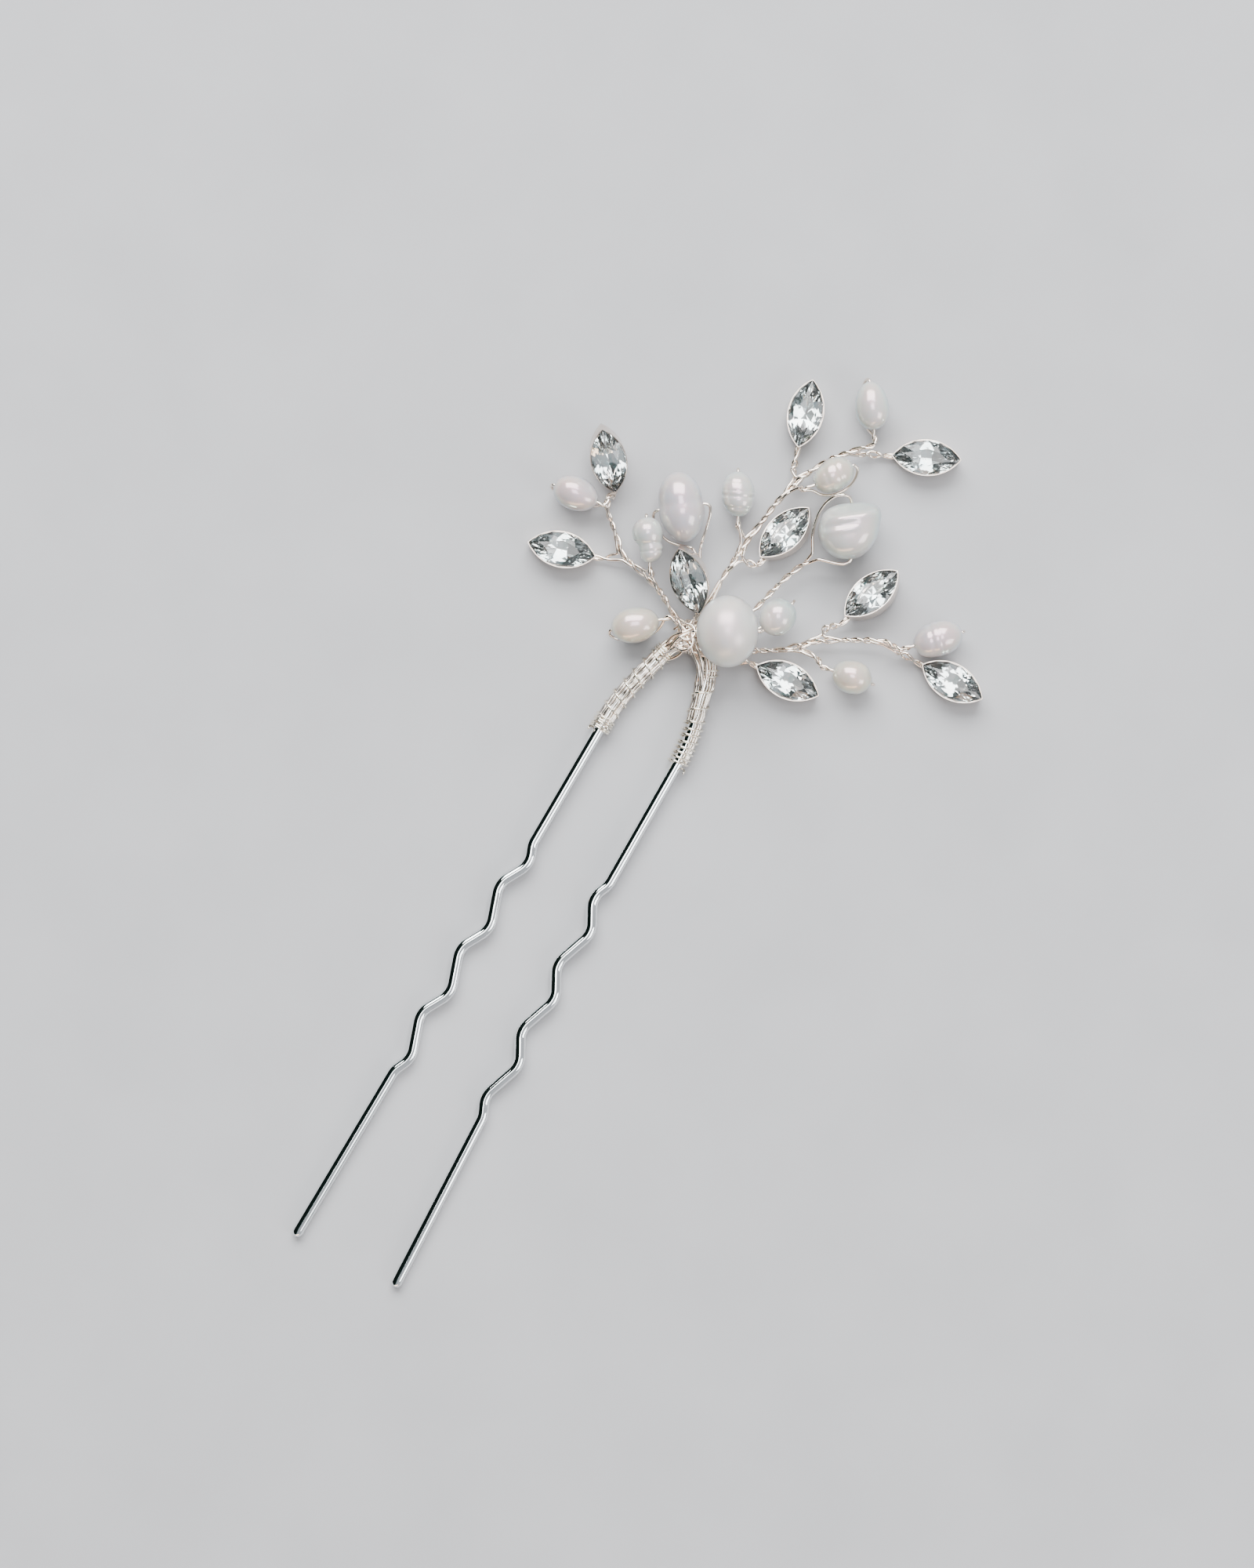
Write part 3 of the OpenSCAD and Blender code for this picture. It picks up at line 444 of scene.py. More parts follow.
def strand(route, phase, seed, eye=0.0):
    """One strand of a twisted pair, its twist counted from the stem's outer end.

    The twist wanders and slackens away from that end, and eye opens the pair near it.
    """
    p = spline(route, 0.15)
    along = lengths(p)
    total = along[-1]
    s = np.linspace(0, total, max(3, int(total * 11 / TWIST_PITCH)))
    t = headings(p, along, s)
    side = unit(np.cross([0, 0, 1.0], t))
    up = np.cross(t, side)
    # None at the outer end, whole a few millimetres away from it
    settle = 1 - np.exp(-(total - s) / 1.2)
    wander = settle * (34 * np.sin(1.1 * s + seed) + 16 * np.sin(2.3 * s + 2 * seed))
    slack = 1.06 + settle * 0.45 * (0.5 + 0.5 * np.sin(1.4 * s + 1.7 * seed)) ** 2
    a = np.radians(360 * (s - total) / TWIST_PITCH + phase + wander)
    offset = STRAND_OFFSET * slack + eye * np.exp(-(((total - s - 2.2) / 0.8) ** 2))
    offset = offset[:, None]
    return at(p, along, s) + offset * (np.cos(a)[:, None] * side + np.sin(a)[:, None] * up)


def fork(route, main):
    """Where a side stem's two strands part, one up and one down the main stem."""
    p = spline(main, 0.1)
    along = lengths(p)
    start = np.array(route[0], float)
    joint = along[np.argmin(np.linalg.norm(p - start, axis=1))]
    ends = []
    for way in (1, -1):
        s = np.clip(joint + way * np.array([2.1, 1.5, 0.9, 0.4]), 0.05, along[-1] - 0.05)
        middle = at(p, along, s)
        t = headings(p, along, s)
        out = np.array(route[1], float) - at(p, along, joint)
        out = unit(out - (t @ out)[:, None] * t)
        up = np.array([0, 0, 1.0])
        ends.append(middle + out * np.array([[0.08], [0.3], [0.42], [0.5]])
                    + up * np.array([[0.05], [0.2], [0.25], [0.15]]))
    return ends


def stem(shape, route, loop, seed, flip=0, main=None, eye=0.0):
    """One wire: out along the first strand, round its pearl or stone, and back."""
    first, second = strand(route, flip, seed, eye), strand(route, 180 + flip, seed, eye)
    if main is not None:
        up, down = fork(route, main)
        # The fork takes the place of each strand's first points
        first, second = join(up, first[3:]), join(down, second[3:])
    tube(shape, soften(join(first, loop, second[::-1])), STEM_R)


def pearl_loop(pearl):
    """Through the bore, then back in half an ellipse round the pearl's side."""
    half = pearl[2] / 2
    a = half + 0.5
    b = pearl[3] / 2 + PEARL_GAP + STEM_R
    bore = [(x, 0, 0) for x in np.linspace(-half - 0.4, half + 0.2, 9)]
    back = [(a * math.cos(w), 0, -b * math.sin(w)) for w in np.radians(np.arange(16, 166, 12.3))]
    return placed(pearl, bore + back)


def pearl_stem(shape, name, route, seed, main=None):
    pearl = PEARLS[name]
    half = pearl[2] / 2
    # The pair comes into line with the bore before it
    ends = placed(pearl, [(-half - 1.5, 0, 0), (-half - 0.9, 0, 0)])
    stem(shape, join(route, ends), pearl_loop(pearl), seed, main=main)


def crystal_stem(shape, name, route, seed, main=None):
    crystal = CRYSTALS[name]
    tip = -SETTING_LENGTH / 2
    ends = placed(crystal, [(tip - 0.9, 0, WIRE_Z), (tip - 0.3, 0, WIRE_Z)])
    fold = [(tip + x, STRAND_OFFSET, WIRE_Z) for x in (0.4, 1.0, 1.5)]
    fold += [(tip + FOLD_DEPTH, y, WIRE_Z) for y in (0.12, -0.12)]
    fold += [(tip + x, -STRAND_OFFSET, WIRE_Z) for x in (1.5, 1.0, 0.4)]
    stem(shape, join(route, ends), placed(crystal, fold), seed, main=main, eye=0.22)


# ---------------------------------------------------------------- materials


def material(name, base, other, metallic=0.0, roughness=(0.15, 0.25), grain=900.0,
             bump=0.0, bump_scale=2500.0, **sockets):
    """Two mottled colours, mottled roughness and a fine bump, all in object space."""
    m = bpy.data.materials.new(name)
    m.use_nodes = True
    nodes, links = m.node_tree.nodes, m.node_tree.links
    shader = nodes["Principled BSDF"]
    shader.inputs["Metallic"].default_value = metallic
    for key, value in sockets.items():
        shader.inputs[key.replace("_", " ")].default_value = value
    where = nodes.new("ShaderNodeTexCoord")
    mottle = nodes.new("ShaderNodeTexNoise")
    mottle.inputs["Scale"].default_value = grain
    mottle.inputs["Detail"].default_value = 4.0
    links.new(where.outputs["Object"], mottle.inputs["Vector"])
    # Noise seldom leaves the middle of its range, so the two colours are drawn in
    ramp = nodes.new("ShaderNodeValToRGB")
    ramp.color_ramp.elements[0].position = 0.32
    ramp.color_ramp.elements[1].position = 0.7
    ramp.color_ramp.elements[0].color = (*base, 1)
    ramp.color_ramp.elements[1].color = (*other, 1)
    links.new(mottle.outputs["Fac"], ramp.inputs["Fac"])
    links.new(ramp.outputs["Color"], shader.inputs["Base Color"])
    rough = nodes.new("ShaderNodeMapRange")
    rough.inputs["To Min"].default_value = roughness[0]
    rough.inputs["To Max"].default_value = roughness[1]
    links.new(mottle.outputs["Fac"], rough.inputs["Value"])
    links.new(rough.outputs["Result"], shader.inputs["Roughness"])
    if bump:
        fine = nodes.new("ShaderNodeTexNoise")
        fine.inputs["Scale"].default_value = bump_scale
        fine.inputs["Detail"].default_value = 3.0
        links.new(where.outputs["Object"], fine.inputs["Vector"])
        relief = nodes.new("ShaderNodeBump")
        relief.inputs["Strength"].default_value = bump
        relief.inputs["Distance"].default_value = 0.02 * MM
        links.new(fine.outputs["Fac"], relief.inputs["Height"])
        links.new(relief.outputs["Normal"], shader.inputs["Normal"])
    return m


def nacre(name, base, other, roughness, coat_roughness=0.17, bump=0.12):
    return material(
        name, base, other, roughness=roughness, grain=260.0, bump=bump, bump_scale=1500.0,
        Subsurface_Weight=0.12, Subsurface_Scale=0.0005, Coat_Weight=1.0,
        Coat_Roughness=coat_roughness, Coat_IOR=2.2, IOR=1.8, Thin_Film_Thickness=460.0,
        Thin_Film_IOR=1.4,
    )


def metal(name, base, other, roughness, grain, bump, bump_scale):
    return material(name, base, other, metallic=1.0, roughness=roughness, grain=grain, bump=bump,
                    bump_scale=bump_scale)


def all_materials():
    return {
        "pin": metal("bright_silver", (0.86, 0.88, 0.88), (0.80, 0.82, 0.82), (0.03, 0.08),
                     grain=700.0, bump=0.04, bump_scale=1800.0),
        "wire": metal("warm_silver", (0.95, 0.86, 0.77), (0.83, 0.72, 0.62), (0.05, 0.13),
                      grain=1100.0, bump=0.08, bump_scale=3200.0),
        # The tails' silver is the stems' wire darkened: painted shade for the gaps between the
        # close-laid wires
        "tail": metal("tail_painted_shade_silver", (0.84, 0.78, 0.71), (0.66, 0.58, 0.50), (0.04, 0.10),
                      grain=1100.0, bump=0.06, bump_scale=3200.0),
        "binding": metal("pale_silver", (0.94, 0.90, 0.80), (0.86, 0.80, 0.68), (0.05, 0.12),
                         grain=1100.0, bump=0.06, bump_scale=3200.0),
        "cup": metal("cup_silver", (0.86, 0.78, 0.71), (0.70, 0.58, 0.50), (0.12, 0.22),
                     grain=900.0, bump=0.10, bump_scale=2600.0),
        "foil": material("mirror_foil", (1.0, 0.98, 0.96), (0.80, 0.90, 0.90), metallic=0.96,
                         roughness=(0.01, 0.03), grain=1300.0, Thin_Film_Thickness=330.0,
                         Thin_Film_IOR=1.35),
        "glass": material("cut_glass", (0.99, 0.99, 1.0), (0.97, 0.98, 0.99),
                          roughness=(0.0, 0.01), grain=600.0, Transmission_Weight=1.0, IOR=1.56),
        "white": nacre("nacre_white", (0.63, 0.56, 0.54), (0.47, 0.53, 0.52), (0.26, 0.36)),
        "cream": nacre("nacre_cream", (0.64, 0.53, 0.43), (0.50, 0.52, 0.49), (0.25, 0.35)),
        "rose": nacre("nacre_rose", (0.62, 0.48, 0.46), (0.49, 0.50, 0.55), (0.24, 0.34)),
        "matte": nacre("nacre_soft", (0.67, 0.60, 0.57), (0.59, 0.59, 0.58), (0.38, 0.48),
                       coat_roughness=0.34, bump=0.2),
        "floor": material("paper", (0.47, 0.475, 0.49), (0.44, 0.445, 0.46),
                          roughness=(0.7, 0.85), grain=60.0, bump=0.1, bump_scale=900.0),
    }


# ---------------------------------------------------------------- camera and stage

# The view is straight down, with the pin turned 30 degrees anticlockwise from upright
VIEW_TURN = math.radians(30)
IMAGE_RIGHT = Vector((math.cos(VIEW_TURN), math.sin(VIEW_TURN), 0))
IMAGE_UP = Vector((-math.sin(VIEW_TURN), math.cos(VIEW_TURN), 0))
VIEW_MIDDLE = Vector((-2.98, 5.3, 2.0)) * MM
VIEW_HEIGHT = 190.5 * MM
CAMERA_DISTANCE = 0.62
SENSOR = 24.0
FLOOR_REACH = 3.0
FLOOR_Z = -0.05 * MM


def turned(back, right, up):
    return Matrix((right, up, back)).transposed().to_4x4()


def add_camera():
    data = bpy.data.cameras.new("camera")
    data.sensor_fit = "VERTICAL"
    data.sensor_height = SENSOR
    data.lens = SENSOR * CAMERA_DISTANCE / VIEW_HEIGHT
    data.clip_start, data.clip_end = 0.01, 10.0
    camera = bpy.data.objects.new("camera", data)
    bpy.context.scene.collection.objects.link(camera)
    up = Vector((0, 0, 1))
    camera.matrix_world = (
        Matrix.Translation(VIEW_MIDDLE + up * CAMERA_DISTANCE) @ turned(up, IMAGE_RIGHT, IMAGE_UP)
    )
    bpy.context.scene.camera = camera


def add_softbox(name, right, up, height, size, power, colour=(1, 1, 1)):
    """An area light placed by the picture's own right and up, aimed at the pin."""
    data = bpy.data.lights.new(name, "AREA")
    data.shape = "RECTANGLE"
    data.size, data.size_y = size
    data.energy = power
    data.color = colour
    lamp = bpy.data.objects.new(name, data)
    bpy.context.scene.collection.objects.link(lamp)
    place = VIEW_MIDDLE + IMAGE_RIGHT * right + IMAGE_UP * up + Vector((0, 0, height))
    back = (place - VIEW_MIDDLE).normalized()
    side = IMAGE_UP.cross(back).normalized()
    lamp.matrix_world = Matrix.Translation(place) @ turned(back, side, back.cross(side))


def add_world():
    """Soft daylight all round, with the room's dark side on the left of the picture."""
    world = bpy.data.worlds.new("studio")
    world.use_nodes = True
    nodes, links = world.node_tree.nodes, world.node_tree.links
    where = nodes.new("ShaderNodeTexCoord")
    dark_side = (-IMAGE_RIGHT * 0.88 - IMAGE_UP * 0.05 + Vector((0, 0, 0.47))).normalized()
    facing = nodes.new("ShaderNodeVectorMath")
    facing.operation = "DOT_PRODUCT"
    facing.inputs[1].default_value = dark_side
    links.new(where.outputs["Generated"], facing.inputs[0])
    ramp = nodes.new("ShaderNodeValToRGB")
    tones = [(0.0, (0.66, 0.68, 0.72)), (0.35, (0.52, 0.54, 0.58)), (0.57, (0.36, 0.38, 0.40)),
             (0.62, (0.15, 0.25, 0.25)), (0.67, (0.010, 0.020, 0.018)),
             (1.0, (0.004, 0.008, 0.007))]
    while len(ramp.color_ramp.elements) < len(tones):
        ramp.color_ramp.elements.new(0.5)
    for element, (place, colour) in zip(ramp.color_ramp.elements, tones):
        element.position = place
        element.color = (*colour, 1)
    links.new(facing.outputs["Value"], ramp.inputs["Fac"])
    background = nodes["Background"]
    background.inputs["Strength"].default_value = 1.0
    links.new(ramp.outputs["Color"], background.inputs["Color"])
    bpy.context.scene.world = world


def add_stage(paper):
    add_softbox("window", right=-0.08, up=0.78, height=0.80, size=(1.1, 0.75), power=34.0)
    add_softbox("overhead", right=0.06, up=0.10, height=1.25, size=(0.5, 0.5), power=6.0)
    add_softbox("right_wall", right=0.75, up=-0.42, height=0.55, size=(0.5, 0.4), power=4.5,
                colour=(0.96, 0.98, 1.0))
    add_softbox("low_warm", right=-0.1, up=-0.9, height=0.22, size=(0.8, 0.2), power=2.6,
                colour=(1.0, 0.66, 0.44))
    add_world()
    mesh = bpy.data.meshes.new("floor")
    sides = [(-1, -1), (1, -1), (1, 1), (-1, 1)]
    mesh.from_pydata([(x * FLOOR_REACH, y * FLOOR_REACH, FLOOR_Z) for x, y in sides],
                     [], [(0, 1, 2, 3)])
    mesh.materials.append(paper)
    floor = bpy.data.objects.new("floor", mesh)
    bpy.context.scene.collection.objects.link(floor)


# ---------------------------------------------------------------- pin, tails and bindings


def make_pin():
    shape = Shape()
    tube(shape, lying(LINE), PIN_R, sides=40, tip=0.8)
    shape.piece("pin_wire", [MATERIALS["pin"]], "bright_silver_wire", ["pin_frame"])


def make_tails(side, name, start, plan, node):
    """The stems' free tails along an arm, swelling a little between the binding's turns."""
    # The tails stop just short of the binding's last turn
    end = start + wound(plan, all_turns(plan)) - 0.25
    whole_turns = np.arange(all_turns(plan) + 1)
    shape = Shape()
    for k in range(TAIL_COUNT):
        a = 360 * k / TAIL_COUNT
        low = end
        if side > 0 and math.cos(math.radians(a)) <= BARE_SIDE:
            low = SHORT_TAIL_END
        s = np.arange(TAIL_START, low - 0.35 * (k % 3), 0.2)
        turns = np.interp(s - start, wound(plan, whole_turns), whole_turns)
        gap = np.gradient(s) / np.maximum(np.gradient(turns), 0.02)
        swell = 0.04 * np.clip(gap / 2.0, 0, 1) * (0.5 - 0.5 * np.cos(2 * np.pi * turns))
        if side > 0:
            # A lantern-shaped bulge below the right arm's first turn
            swell = swell + 0.2 * np.exp(-(((s - start - 1.9) / 0.8) ** 2))
        lean = 3 * np.sin(0.8 * s + 2.1 * k) + np.sin(2.3 * s + 1.3 * k)
        tube(shape, round_arm(side, s, TAIL_RING + swell, a + lean), TAIL_R, 10, 0.3)
    # The tails take the darker silver that paints the shade between them
    shape.piece(name, [MATERIALS["tail"]], "craft_wire", [node])


def make_binding(node, side, start, plan, finish):
    """A binding wire wound round an arm, its turns a little uneven."""
    turns = np.linspace(0, all_turns(plan), all_turns(plan) * 30 + 1)
    s = start + wound(plan, turns) + 0.05 * np.sin(2.7 * turns)
    wobble = 0.02 * np.sin(5.1 * turns) ** 2
    coil = round_arm(side, s, BINDING_RING + wobble, 360 * turns)
    # The cut end stands off a little
    free = np.linspace(0.05, 1, 8)
    stub = round_arm(side, s[-1] + 0.3 * free, BINDING_RING + 0.3 * free**2,
                     360 * turns[-1] + 40 * free)
    shape = Shape()
    tube(shape, np.concatenate([coil, stub]), BINDING_R)
    shape.piece(node + "_wire", [MATERIALS[finish]], "craft_wire", [node])


# ---------------------------------------------------------------- stems


def make_stems():
    def branch(name, node, build):
        shape = Shape()
        build(shape)
        shape.piece(name, [MATERIALS["wire"]], "craft_wire", [node])

    def left(shape):
        crystal_stem(shape, "left_tip", LEFT_TIP, 0.3)
        crystal_stem(shape, "left_low", LEFT_LOW, 1.1, LEFT_TIP)
        pearl_stem(shape, "far_left", FAR_LEFT, 2.0, LEFT_TIP)
        pearl_stem(shape, "double", DOUBLE, 2.9, LEFT_TIP)

    def top(shape):
        pearl_stem(shape, "top", TOP, 0.7)
        pearl_stem(shape, "ringed_upper", RINGED_UPPER, 1.9, TOP)
        pearl_stem(shape, "looped", LOOPED, 2.4, TOP)
        crystal_stem(shape, "inner", INNER, 3.3, TOP)
        crystal_stem(shape, "top", TOP_CRYSTAL, 4.1, TOP)
        crystal_stem(shape, "top_right", TOP_RIGHT, 5.2, TOP)

    def right(shape):
        pearl_stem(shape, "ringed_right", RIGHT_TIP_PEARL, 1.2)
        pearl_stem(shape, "low_right", LOW_RIGHT, 2.2, RIGHT_TIP_PEARL)
        crystal_stem(shape, "right_upper", RIGHT_UPPER, 3.6, RIGHT_TIP_PEARL)
        crystal_stem(shape, "right_tip", RIGHT_TIP, 4.4, RIGHT_TIP_PEARL)

    def big_oval(shape):
        mouth = PEARLS["big_oval"][3] / 2 + 0.1
        bore = placed(PEARLS["big_oval"], [(0, y, 0) for y in np.linspace(mouth, -mouth, 8)])
        loop = soften(join(OVAL_LEFT[::-1], bore, OVAL_RIGHT), 0.3)
        stem(shape, BIG_OVAL, loop, 0.9)

    def baroque(shape):
        mouth = PEARLS["baroque"][3] / 2 + 0.1
        bore = [(BAROQUE_BORE_X, y, 0) for y in np.linspace(-mouth, mouth, 8)]
        bore = placed(PEARLS["baroque"], bore)
        loop = soften(join(BAROQUE_LOW, bore, BAROQUE_HIGH), 0.3)
        stem(shape, BAROQUE, loop, 1.4, flip=180)

    def centre(shape):
        def through(pearl, before, after):
            half = pearl[2] / 2
            return placed(pearl, [(x, 0, 0) for x in np.linspace(-half - before, half + after, 9)])

        first, second = PEARLS["centre"], PEARLS["small_round"]
        path = join(
            CENTRE_RISER,
            through(first, 0.3, 0.45),
            through(second, 0.45, 0.1),
            CENTRE_RETURN,
        )
        tube(shape, soften(path), STEM_R)

    def hub(shape):
        crystal_stem(shape, "low", LOW_CRYSTAL, 1.6)
        for k, route in enumerate(HUB_STRANDS):
            tube(shape, soften(spline(route, 0.2), 0.3), STEM_R * (1 - 0.04 * (k % 3)))

    branch("stems_left", "wire_left_branch", left)
    branch("stems_top", "wire_top_branch", top)
    branch("stems_right", "wire_right_branch", right)
    branch("stem_big_oval", "wire_big_oval_pearl", big_oval)
    branch("stem_baroque", "wire_baroque_pearl", baroque)
    branch("wire_centre", "wire_centre_pearls", centre)
    branch("stem_low_left", "wire_low_left_pearl",
           lambda shape: pearl_stem(shape, "low_left", LOW_LEFT, 3.1))
    branch("stem_centre_crystal", "wire_centre_crystal",
           lambda shape: crystal_stem(shape, "centre", CENTRE_CRYSTAL, 0.5))
    # The strands over the crown go with the low crystal's stem
    branch("stem_low_crystal", "wire_low_crystal", hub)


# ---------------------------------------------------------------- pearls

AROUND = 96
RINGS = 72


def oval_profile(length, width, grooves=(), point=0.0, egg=0.0):
    """Each ring's place along the bore and its radius, from mouth to mouth.

    Each groove is its place as a share of half the length, its depth and its width.
    """
    edge = math.asin(BORE_R / (width / 2))
    a = np.linspace(math.pi - edge, edge, RINGS)
    x = length / 2 * np.cos(a)
    r = width / 2 * np.sin(a) * (1 - egg * np.cos(a))
    r = np.where(a < 1.0, r * (1 - point * np.cos(a) * (1 - a / 1.0)), r)
    for place, depth, wide in grooves:
        r = r - depth * np.exp(-(((x - place * length / 2) / wide) ** 2)) * (r > BORE_R * 2.2)
    return x, np.maximum(r, BORE_R)


def drilled(shape, item, x, r, lumps=0.0, seed=0.0, turn_grooves=0.0, sway=0.0):
    """Spins a profile round the bore, presses gentle lumps into it, and drills it."""
    angle = 2 * np.pi * np.arange(AROUND) / AROUND
    skin = np.stack([
        np.repeat(x[:, None], AROUND, 1),
        r[:, None] * np.cos(angle),
        r[:, None] * np.sin(angle),
    ], axis=2)
    away = np.clip((r - BORE_R) / (r.max() - BORE_R), 0, 1)[:, None]
    u = x[:, None] / abs(x).max()
    wave = (
        np.sin(2 * angle + 1.7 * u + seed) + 0.6 * np.sin(3 * angle - 2.6 * u + 2 * seed)
        + 0.5 * np.sin(1.0 * angle + 3.9 * u + 3 * seed)
    )
    scale = 1 - lumps * away * (1.0 + wave / 2.1) / 2
    skin[:, :, 1:] *= scale[:, :, None]
    skin[:, :, 0] += turn_grooves * away * np.sin(angle + seed)
    skin[:, :, 1] += np.reshape(sway, (-1, 1)) * away
    bore = np.stack([
        np.repeat(np.linspace(x[-1], x[0], 12)[1:-1, None], AROUND, 1),
        np.full((10, 1), BORE_R) * np.cos(angle),
        np.full((10, 1), BORE_R) * np.sin(angle),
    ], axis=2)
    add_rings(shape, item, skin, bore)


def add_bead(shape, name, finish):
    node = "pearl_" + name
    shape.piece(node + "_bead", [MATERIALS[finish]], "nacre", [node], body=node + "_body")


def make_pearl(name, x, r, finish, **form):
    shape = Shape()
    drilled(shape, PEARLS[name], x, r, **form)
    add_bead(shape, name, finish)


def make_pearls():
    def oval(name, finish, grooves=(), point=0.0, egg=0.0, **form):
        item = PEARLS[name]
        x, r = oval_profile(item[2], item[3], grooves, point, egg)
        make_pearl(name, x, r, finish, **form)

    oval("far_left", "rose", egg=-0.06, lumps=0.05, seed=0.4)
    oval("top", "white", egg=0.08, lumps=0.05, seed=1.3)
    oval("ringed_upper", "white", lumps=0.08, seed=2.2, turn_grooves=0.22,
         grooves=[(-0.62, 0.06, 0.2), (-0.1, 0.1, 0.24), (0.14, 0.04, 0.12), (0.55, 0.05, 0.2)])
    oval("looped", "cream", lumps=0.09, seed=0.9, turn_grooves=0.15,
         grooves=[(-0.35, 0.07, 0.3), (0.3, 0.08, 0.26)])
    oval("centre", "matte", lumps=0.02, seed=2.7)
    oval("small_round", "white", lumps=0.05, seed=1.1)
    oval("low_left", "cream", egg=-0.04, lumps=0.05, seed=0.2)
    oval("low_right", "cream", point=0.3, lumps=0.05, seed=3.0)
    oval("ringed_right", "rose", lumps=0.05, seed=1.8, turn_grooves=0.1,
         grooves=[(-0.24, 0.08, 0.3), (0.1, 0.05, 0.16)])

    item = PEARLS["double"]
    big, small = item[3] / 2, 1.38
    big_x, small_x = item[2] / 2 - big, small - item[2] / 2
    x = np.linspace(small_x - math.sqrt(small**2 - BORE_R**2),
                    big_x + math.sqrt(big**2 - BORE_R**2), RINGS)
    lobe = np.sqrt(np.maximum(small**2 - (x - small_x) ** 2, 0))
    body = np.sqrt(np.maximum(big**2 - (x - big_x) ** 2, 0))
    # A neck that fills the waist, two fine creases, and the small lobe's lean to one side
    neck_x = (small_x + big_x) / 2 - 0.25
    neck = small * np.exp(-(((x - neck_x) / 1.2) ** 4))
    r = (lobe**8 + body**8 + neck**8) ** (1 / 8)
    r = r - 0.06 * np.exp(-(((x - neck_x - 0.1) / 0.16) ** 2))
    r = r - 0.05 * np.exp(-(((x - neck_x + 0.9) / 0.12) ** 2))
    sway = -0.42 / (1 + np.exp((x - neck_x - 0.1) / 0.16))
    make_pearl("double", x, np.clip(r, BORE_R, big), "white", lumps=0.03, seed=0.6, sway=sway)
    make_big_oval()
    make_baroque()


def blob(shape, item, radius_at, bore_x=0.0, press=None):
    """A closed body whose surface is radius_at(direction), drilled along its own y."""
    # Rings run round the bore's axis, from one mouth to the other
    polar = np.linspace(0, math.pi, RINGS + 2)[1:-1]
    angle = 2 * np.pi * np.arange(AROUND) / AROUND
    direction = np.stack([
        np.sin(polar)[:, None] * np.cos(angle),
        np.repeat(np.cos(polar)[:, None], AROUND, 1),
        np.sin(polar)[:, None] * np.sin(angle),
    ], axis=2)
    skin = direction * radius_at(direction)[:, :, None]
    if press:
        skin = press(skin)
    # Keep the rings that clear the bore, and close through it
    wide = np.hypot(skin[:, :, 0] - bore_x, skin[:, :, 2]).min(1) > BORE_R * 1.15
    skin = skin[wide]
    top, low = skin[0, :, 1].mean(), skin[-1, :, 1].mean()
    bore = np.stack([
        np.full((12, 1), bore_x) + BORE_R * np.cos(angle),
        np.repeat(np.linspace(low + 0.02, top - 0.02, 12)[:, None], AROUND, 1),
        np.zeros((12, 1)) + BORE_R * np.sin(angle),
    ], axis=2)
    add_rings(shape, item, skin, bore)


def make_big_oval():
    item = PEARLS["big_oval"]
    a, b = item[2] / 2, item[3] / 2

    def radius_at(d):
        base = 1 / np.sqrt((d[..., 0] / a) ** 2 + (d[..., 1] / b) ** 2 + (d[..., 2] / b) ** 2)
        x = d[..., 0] * base / a
        dent = 0.035 * np.exp(-(((x - 0.08) / 0.16) ** 2)) + 0.02 * np.sin(3.1 * x + 1.0) ** 2
        return base * (1 - dent * (1 - x**2))

    shape = Shape()
    blob(shape, item, radius_at)
    add_bead(shape, "big_oval", "rose")


# Half widths of the baroque pearl seen from above, by compass angle in its own frame
BAROQUE_OUTLINE = [(0, 3.6), (16, 4.0), (28, 4.45), (37, 4.7), (46, 4.5), (58, 4.05), (72, 3.65),
                   (90, 3.38), (115, 3.5), (140, 3.8), (176, 3.85), (200, 3.85), (234, 3.7),
                   (270, 3.5), (300, 3.4), (325, 3.35), (360, 3.6)]


def make_baroque():
    item = PEARLS["baroque"]
    height, boxy = 3.4, 2.5
    marks = np.array(BAROQUE_OUTLINE, float)
    # The outline as a smooth closed curve of a few waves
    fine = np.radians(np.arange(0, 360, 5))
    seen = np.interp(np.degrees(fine), marks[:, 0], marks[:, 1])
    waves = [(np.mean(seen * np.cos(n * fine)) * (1 if n == 0 else 2),
              np.mean(seen * np.sin(n * fine)) * 2) for n in range(11)]

    def radius_at(d):
        compass = np.arctan2(d[..., 1], d[..., 0])
        flat = sum(c * np.cos(n * compass) + s * np.sin(n * compass)
                   for n, (c, s) in enumerate(waves))
        level = np.hypot(d[..., 0], d[..., 1])
        flat_part, high_part = np.abs(level / flat) ** boxy, np.abs(d[..., 2] / height) ** boxy
        # A little inside the outline
        return 0.985 / (flat_part + high_part) ** (1 / boxy)

    def step(t):
        t = np.clip(t, 0, 1)
        return t * t * (3 - 2 * t)

    def press(p):
        """A crest that climbs to the corner, a flat slope beyond it, a fold and a fuller lobe."""
        x, y, z = p[..., 0], p[..., 1], p[..., 2]
        over = step(z / 1.2)
        slope = 0.34 * step((y - 1.75 - 0.17 * x) / 1.3)
        crest = 0.05 * np.exp(-(((y - 1.5 - 0.17 * x) / 0.55) ** 2)) * step((x + 2.6) / 2.0)
        fold = 0.035 * np.exp(-(((y - 0.1 - 0.16 * x) / 0.38) ** 2)) * step((2.0 - x) / 1.8)
        groove = 0.05 * np.exp(-(((y - 0.75 - 0.16 * x) / 0.45) ** 2)) * step((1.6 - x) / 2.2)
        shrink = 1 - over * (slope + groove - crest - fold)
        return np.stack([x, y, z * shrink], axis=2)

    shape = Shape()
    blob(shape, item, radius_at, BAROQUE_BORE_X, press)
    add_bead(shape, "baroque", "white")


# ---------------------------------------------------------------- crystals and settings


def navette(length, width, u):
    """A point of a navette outline; u runs round it in degrees, with a tip at 0 and at 180."""
    a, b = length / 2, width / 2
    r = (a * a + b * b) / (2 * b)
    x = a * np.cos(np.radians(u))
    y = np.sqrt(r * r - x * x) - r + b
    return np.stack([x, np.where(np.sin(np.radians(u)) >= 0, y, -y)], axis=-1)


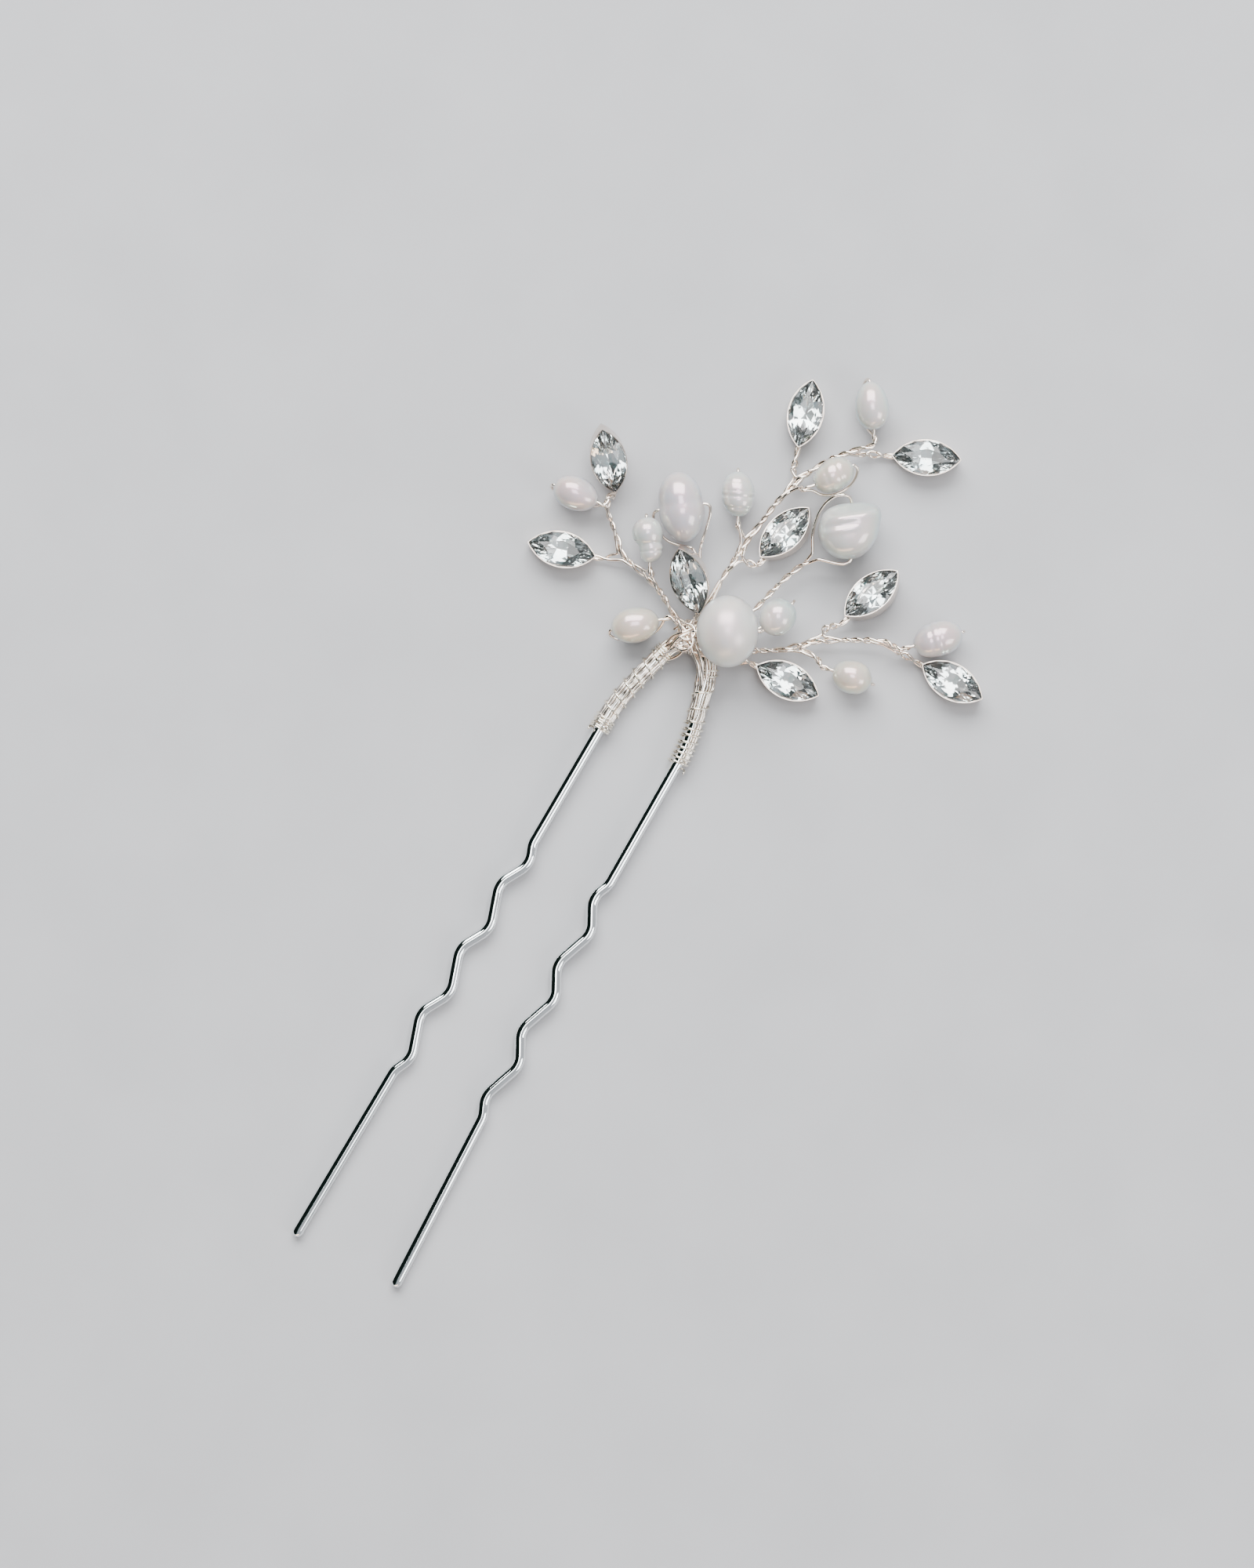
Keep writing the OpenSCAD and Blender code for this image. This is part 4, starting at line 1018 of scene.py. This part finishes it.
def make_setting(name):
    item = CRYSTALS[name]
    u = 180 * np.arange(0, 2, 1 / 36)
    inner_length, inner_width = GLASS_LENGTH + 0.02, GLASS_WIDTH + 0.02
    ledge_length, ledge_width = STONE_LENGTH - 0.7, STONE_WIDTH - 0.56
    levels = [  # length, width, height
        (SETTING_LENGTH - 1.6, SETTING_WIDTH - 1.2, 0.0),
        (SETTING_LENGTH - 0.75, SETTING_WIDTH - 0.55, 0.03),
        (SETTING_LENGTH - 0.45, SETTING_WIDTH - 0.32, 0.16),
        (SETTING_LENGTH - 0.28, SETTING_WIDTH - 0.2, 0.5),
        (SETTING_LENGTH - 0.1, SETTING_WIDTH - 0.08, 1.6),
        (SETTING_LENGTH, SETTING_WIDTH, 2.3),
        (SETTING_LENGTH, SETTING_WIDTH, 2.58),
        (SETTING_LENGTH - 0.04, SETTING_WIDTH - 0.04, 2.66),
        (SETTING_LENGTH - 0.10, SETTING_WIDTH - 0.10, SETTING_HEIGHT),
        (inner_length + 0.06, inner_width + 0.06, SETTING_HEIGHT),
        (inner_length + 0.01, inner_width + 0.01, 2.67),
        (inner_length, inner_width, 2.6),
        (inner_length, inner_width, LEDGE_Z),
        (ledge_length, ledge_width, LEDGE_Z),
        (ledge_length - 0.1, ledge_width - 0.1, 0.3),
    ]
    rings = [np.column_stack([navette(a, b, u), np.full(len(u), z)]) for a, b, z in levels]
    count = len(u)
    faces = []
    for i in range(len(levels) - 1):
        for k in range(count):
            a, b = i * count + k, i * count + (k + 1) % count
            faces.append((a, b, b + count, a + count))
    faces.append(tuple(range(count - 1, -1, -1)))
    faces.append(tuple((len(levels) - 1) * count + k for k in range(count)))
    shape = Shape()
    shape.add(placed(item, np.concatenate(rings)), faces)
    obj = shape.piece("setting_" + name + "_cup", [MATERIALS["cup"]], "setting_metal",
                      ["setting_" + name])
    obj.data.set_sharp_from_angle(angle=math.radians(50))


def make_stone(name):
    """A navette brilliant: table, star, kite and girdle facets over a foiled pavilion."""
    item = CRYSTALS[name]
    main = 8
    whole = np.arange(main) * 360 / main
    half = whole + 180 / main

    def ring(u, long, wide, z):
        return np.column_stack([navette(GLASS_LENGTH * long, GLASS_WIDTH * wide, u),
                                np.full(len(u), z)])

    top = GIRDLE_Z + 0.14
    table = ring(whole, 0.54, 0.5, top + 0.8)
    star = ring(half, 0.80, 0.80, top + 0.46)
    upper = ring(whole, 1, 1, top)
    upper_half = ring(half, 1, 1, top)
    girdle = ring(whole, 1, 1, GIRDLE_Z)
    girdle_half = ring(half, 1, 1, GIRDLE_Z)
    deep = ring(half, 0.5, 0.42, GIRDLE_Z - 0.62 * PAVILION)
    keel = [(0.4 * table[i, 0], 0, GIRDLE_Z - PAVILION) for i in range(main // 2 + 1)]
    points = np.concatenate([table, star, upper, upper_half, girdle, girdle_half, deep, keel])
    T, S, U, V, G, H, D, K = (main * k for k in range(8))
    under = [K + min(i, main - i) for i in range(main)]
    crown, back = [tuple(range(main))], []
    for i in range(main):
        j = (i + 1) % main
        h = (i - 1) % main
        crown += [(T + i, S + i, T + j), (T + i, U + i, S + i), (T + i, S + h, U + i),
                  (S + i, U + i, V + i), (S + i, V + i, U + j),
                  (U + i, G + i, H + i, V + i), (V + i, H + i, G + j, U + j)]
        back += [(D + i, H + i, G + i), (D + i, G + j, H + i), (G + i, under[i], D + i),
                 (G + i, D + h, under[i]), (D + i, under[i], under[j])]
    shape = Shape()
    shape.add(placed(item, points), crown + back, [0] * len(crown) + [1] * len(back))
    shape.piece("crystal_" + name + "_stone", [MATERIALS["glass"], MATERIALS["foil"]],
                "crystal", ["crystal_" + name], smooth=False)


# ---------------------------------------------------------------- everything

MATERIALS = all_materials()
add_camera()
add_stage(MATERIALS["floor"])
make_pin()
make_tails(-1, "tails_left", LEFT_START, LEFT_BINDING, "tail_wires_left")
make_tails(1, "tails_right", RIGHT_START, RIGHT_BINDING, "tail_wires_right")
make_binding("binding_left", -1, LEFT_START, LEFT_BINDING, "binding")
make_binding("binding_right", 1, RIGHT_START, RIGHT_BINDING, "binding")
make_binding("binding_hub", 1, HUB_START, HUB_BINDING, "wire")
make_stems()
make_pearls()
for crystal_name in CRYSTALS:
    make_setting(crystal_name)
    make_stone(crystal_name)
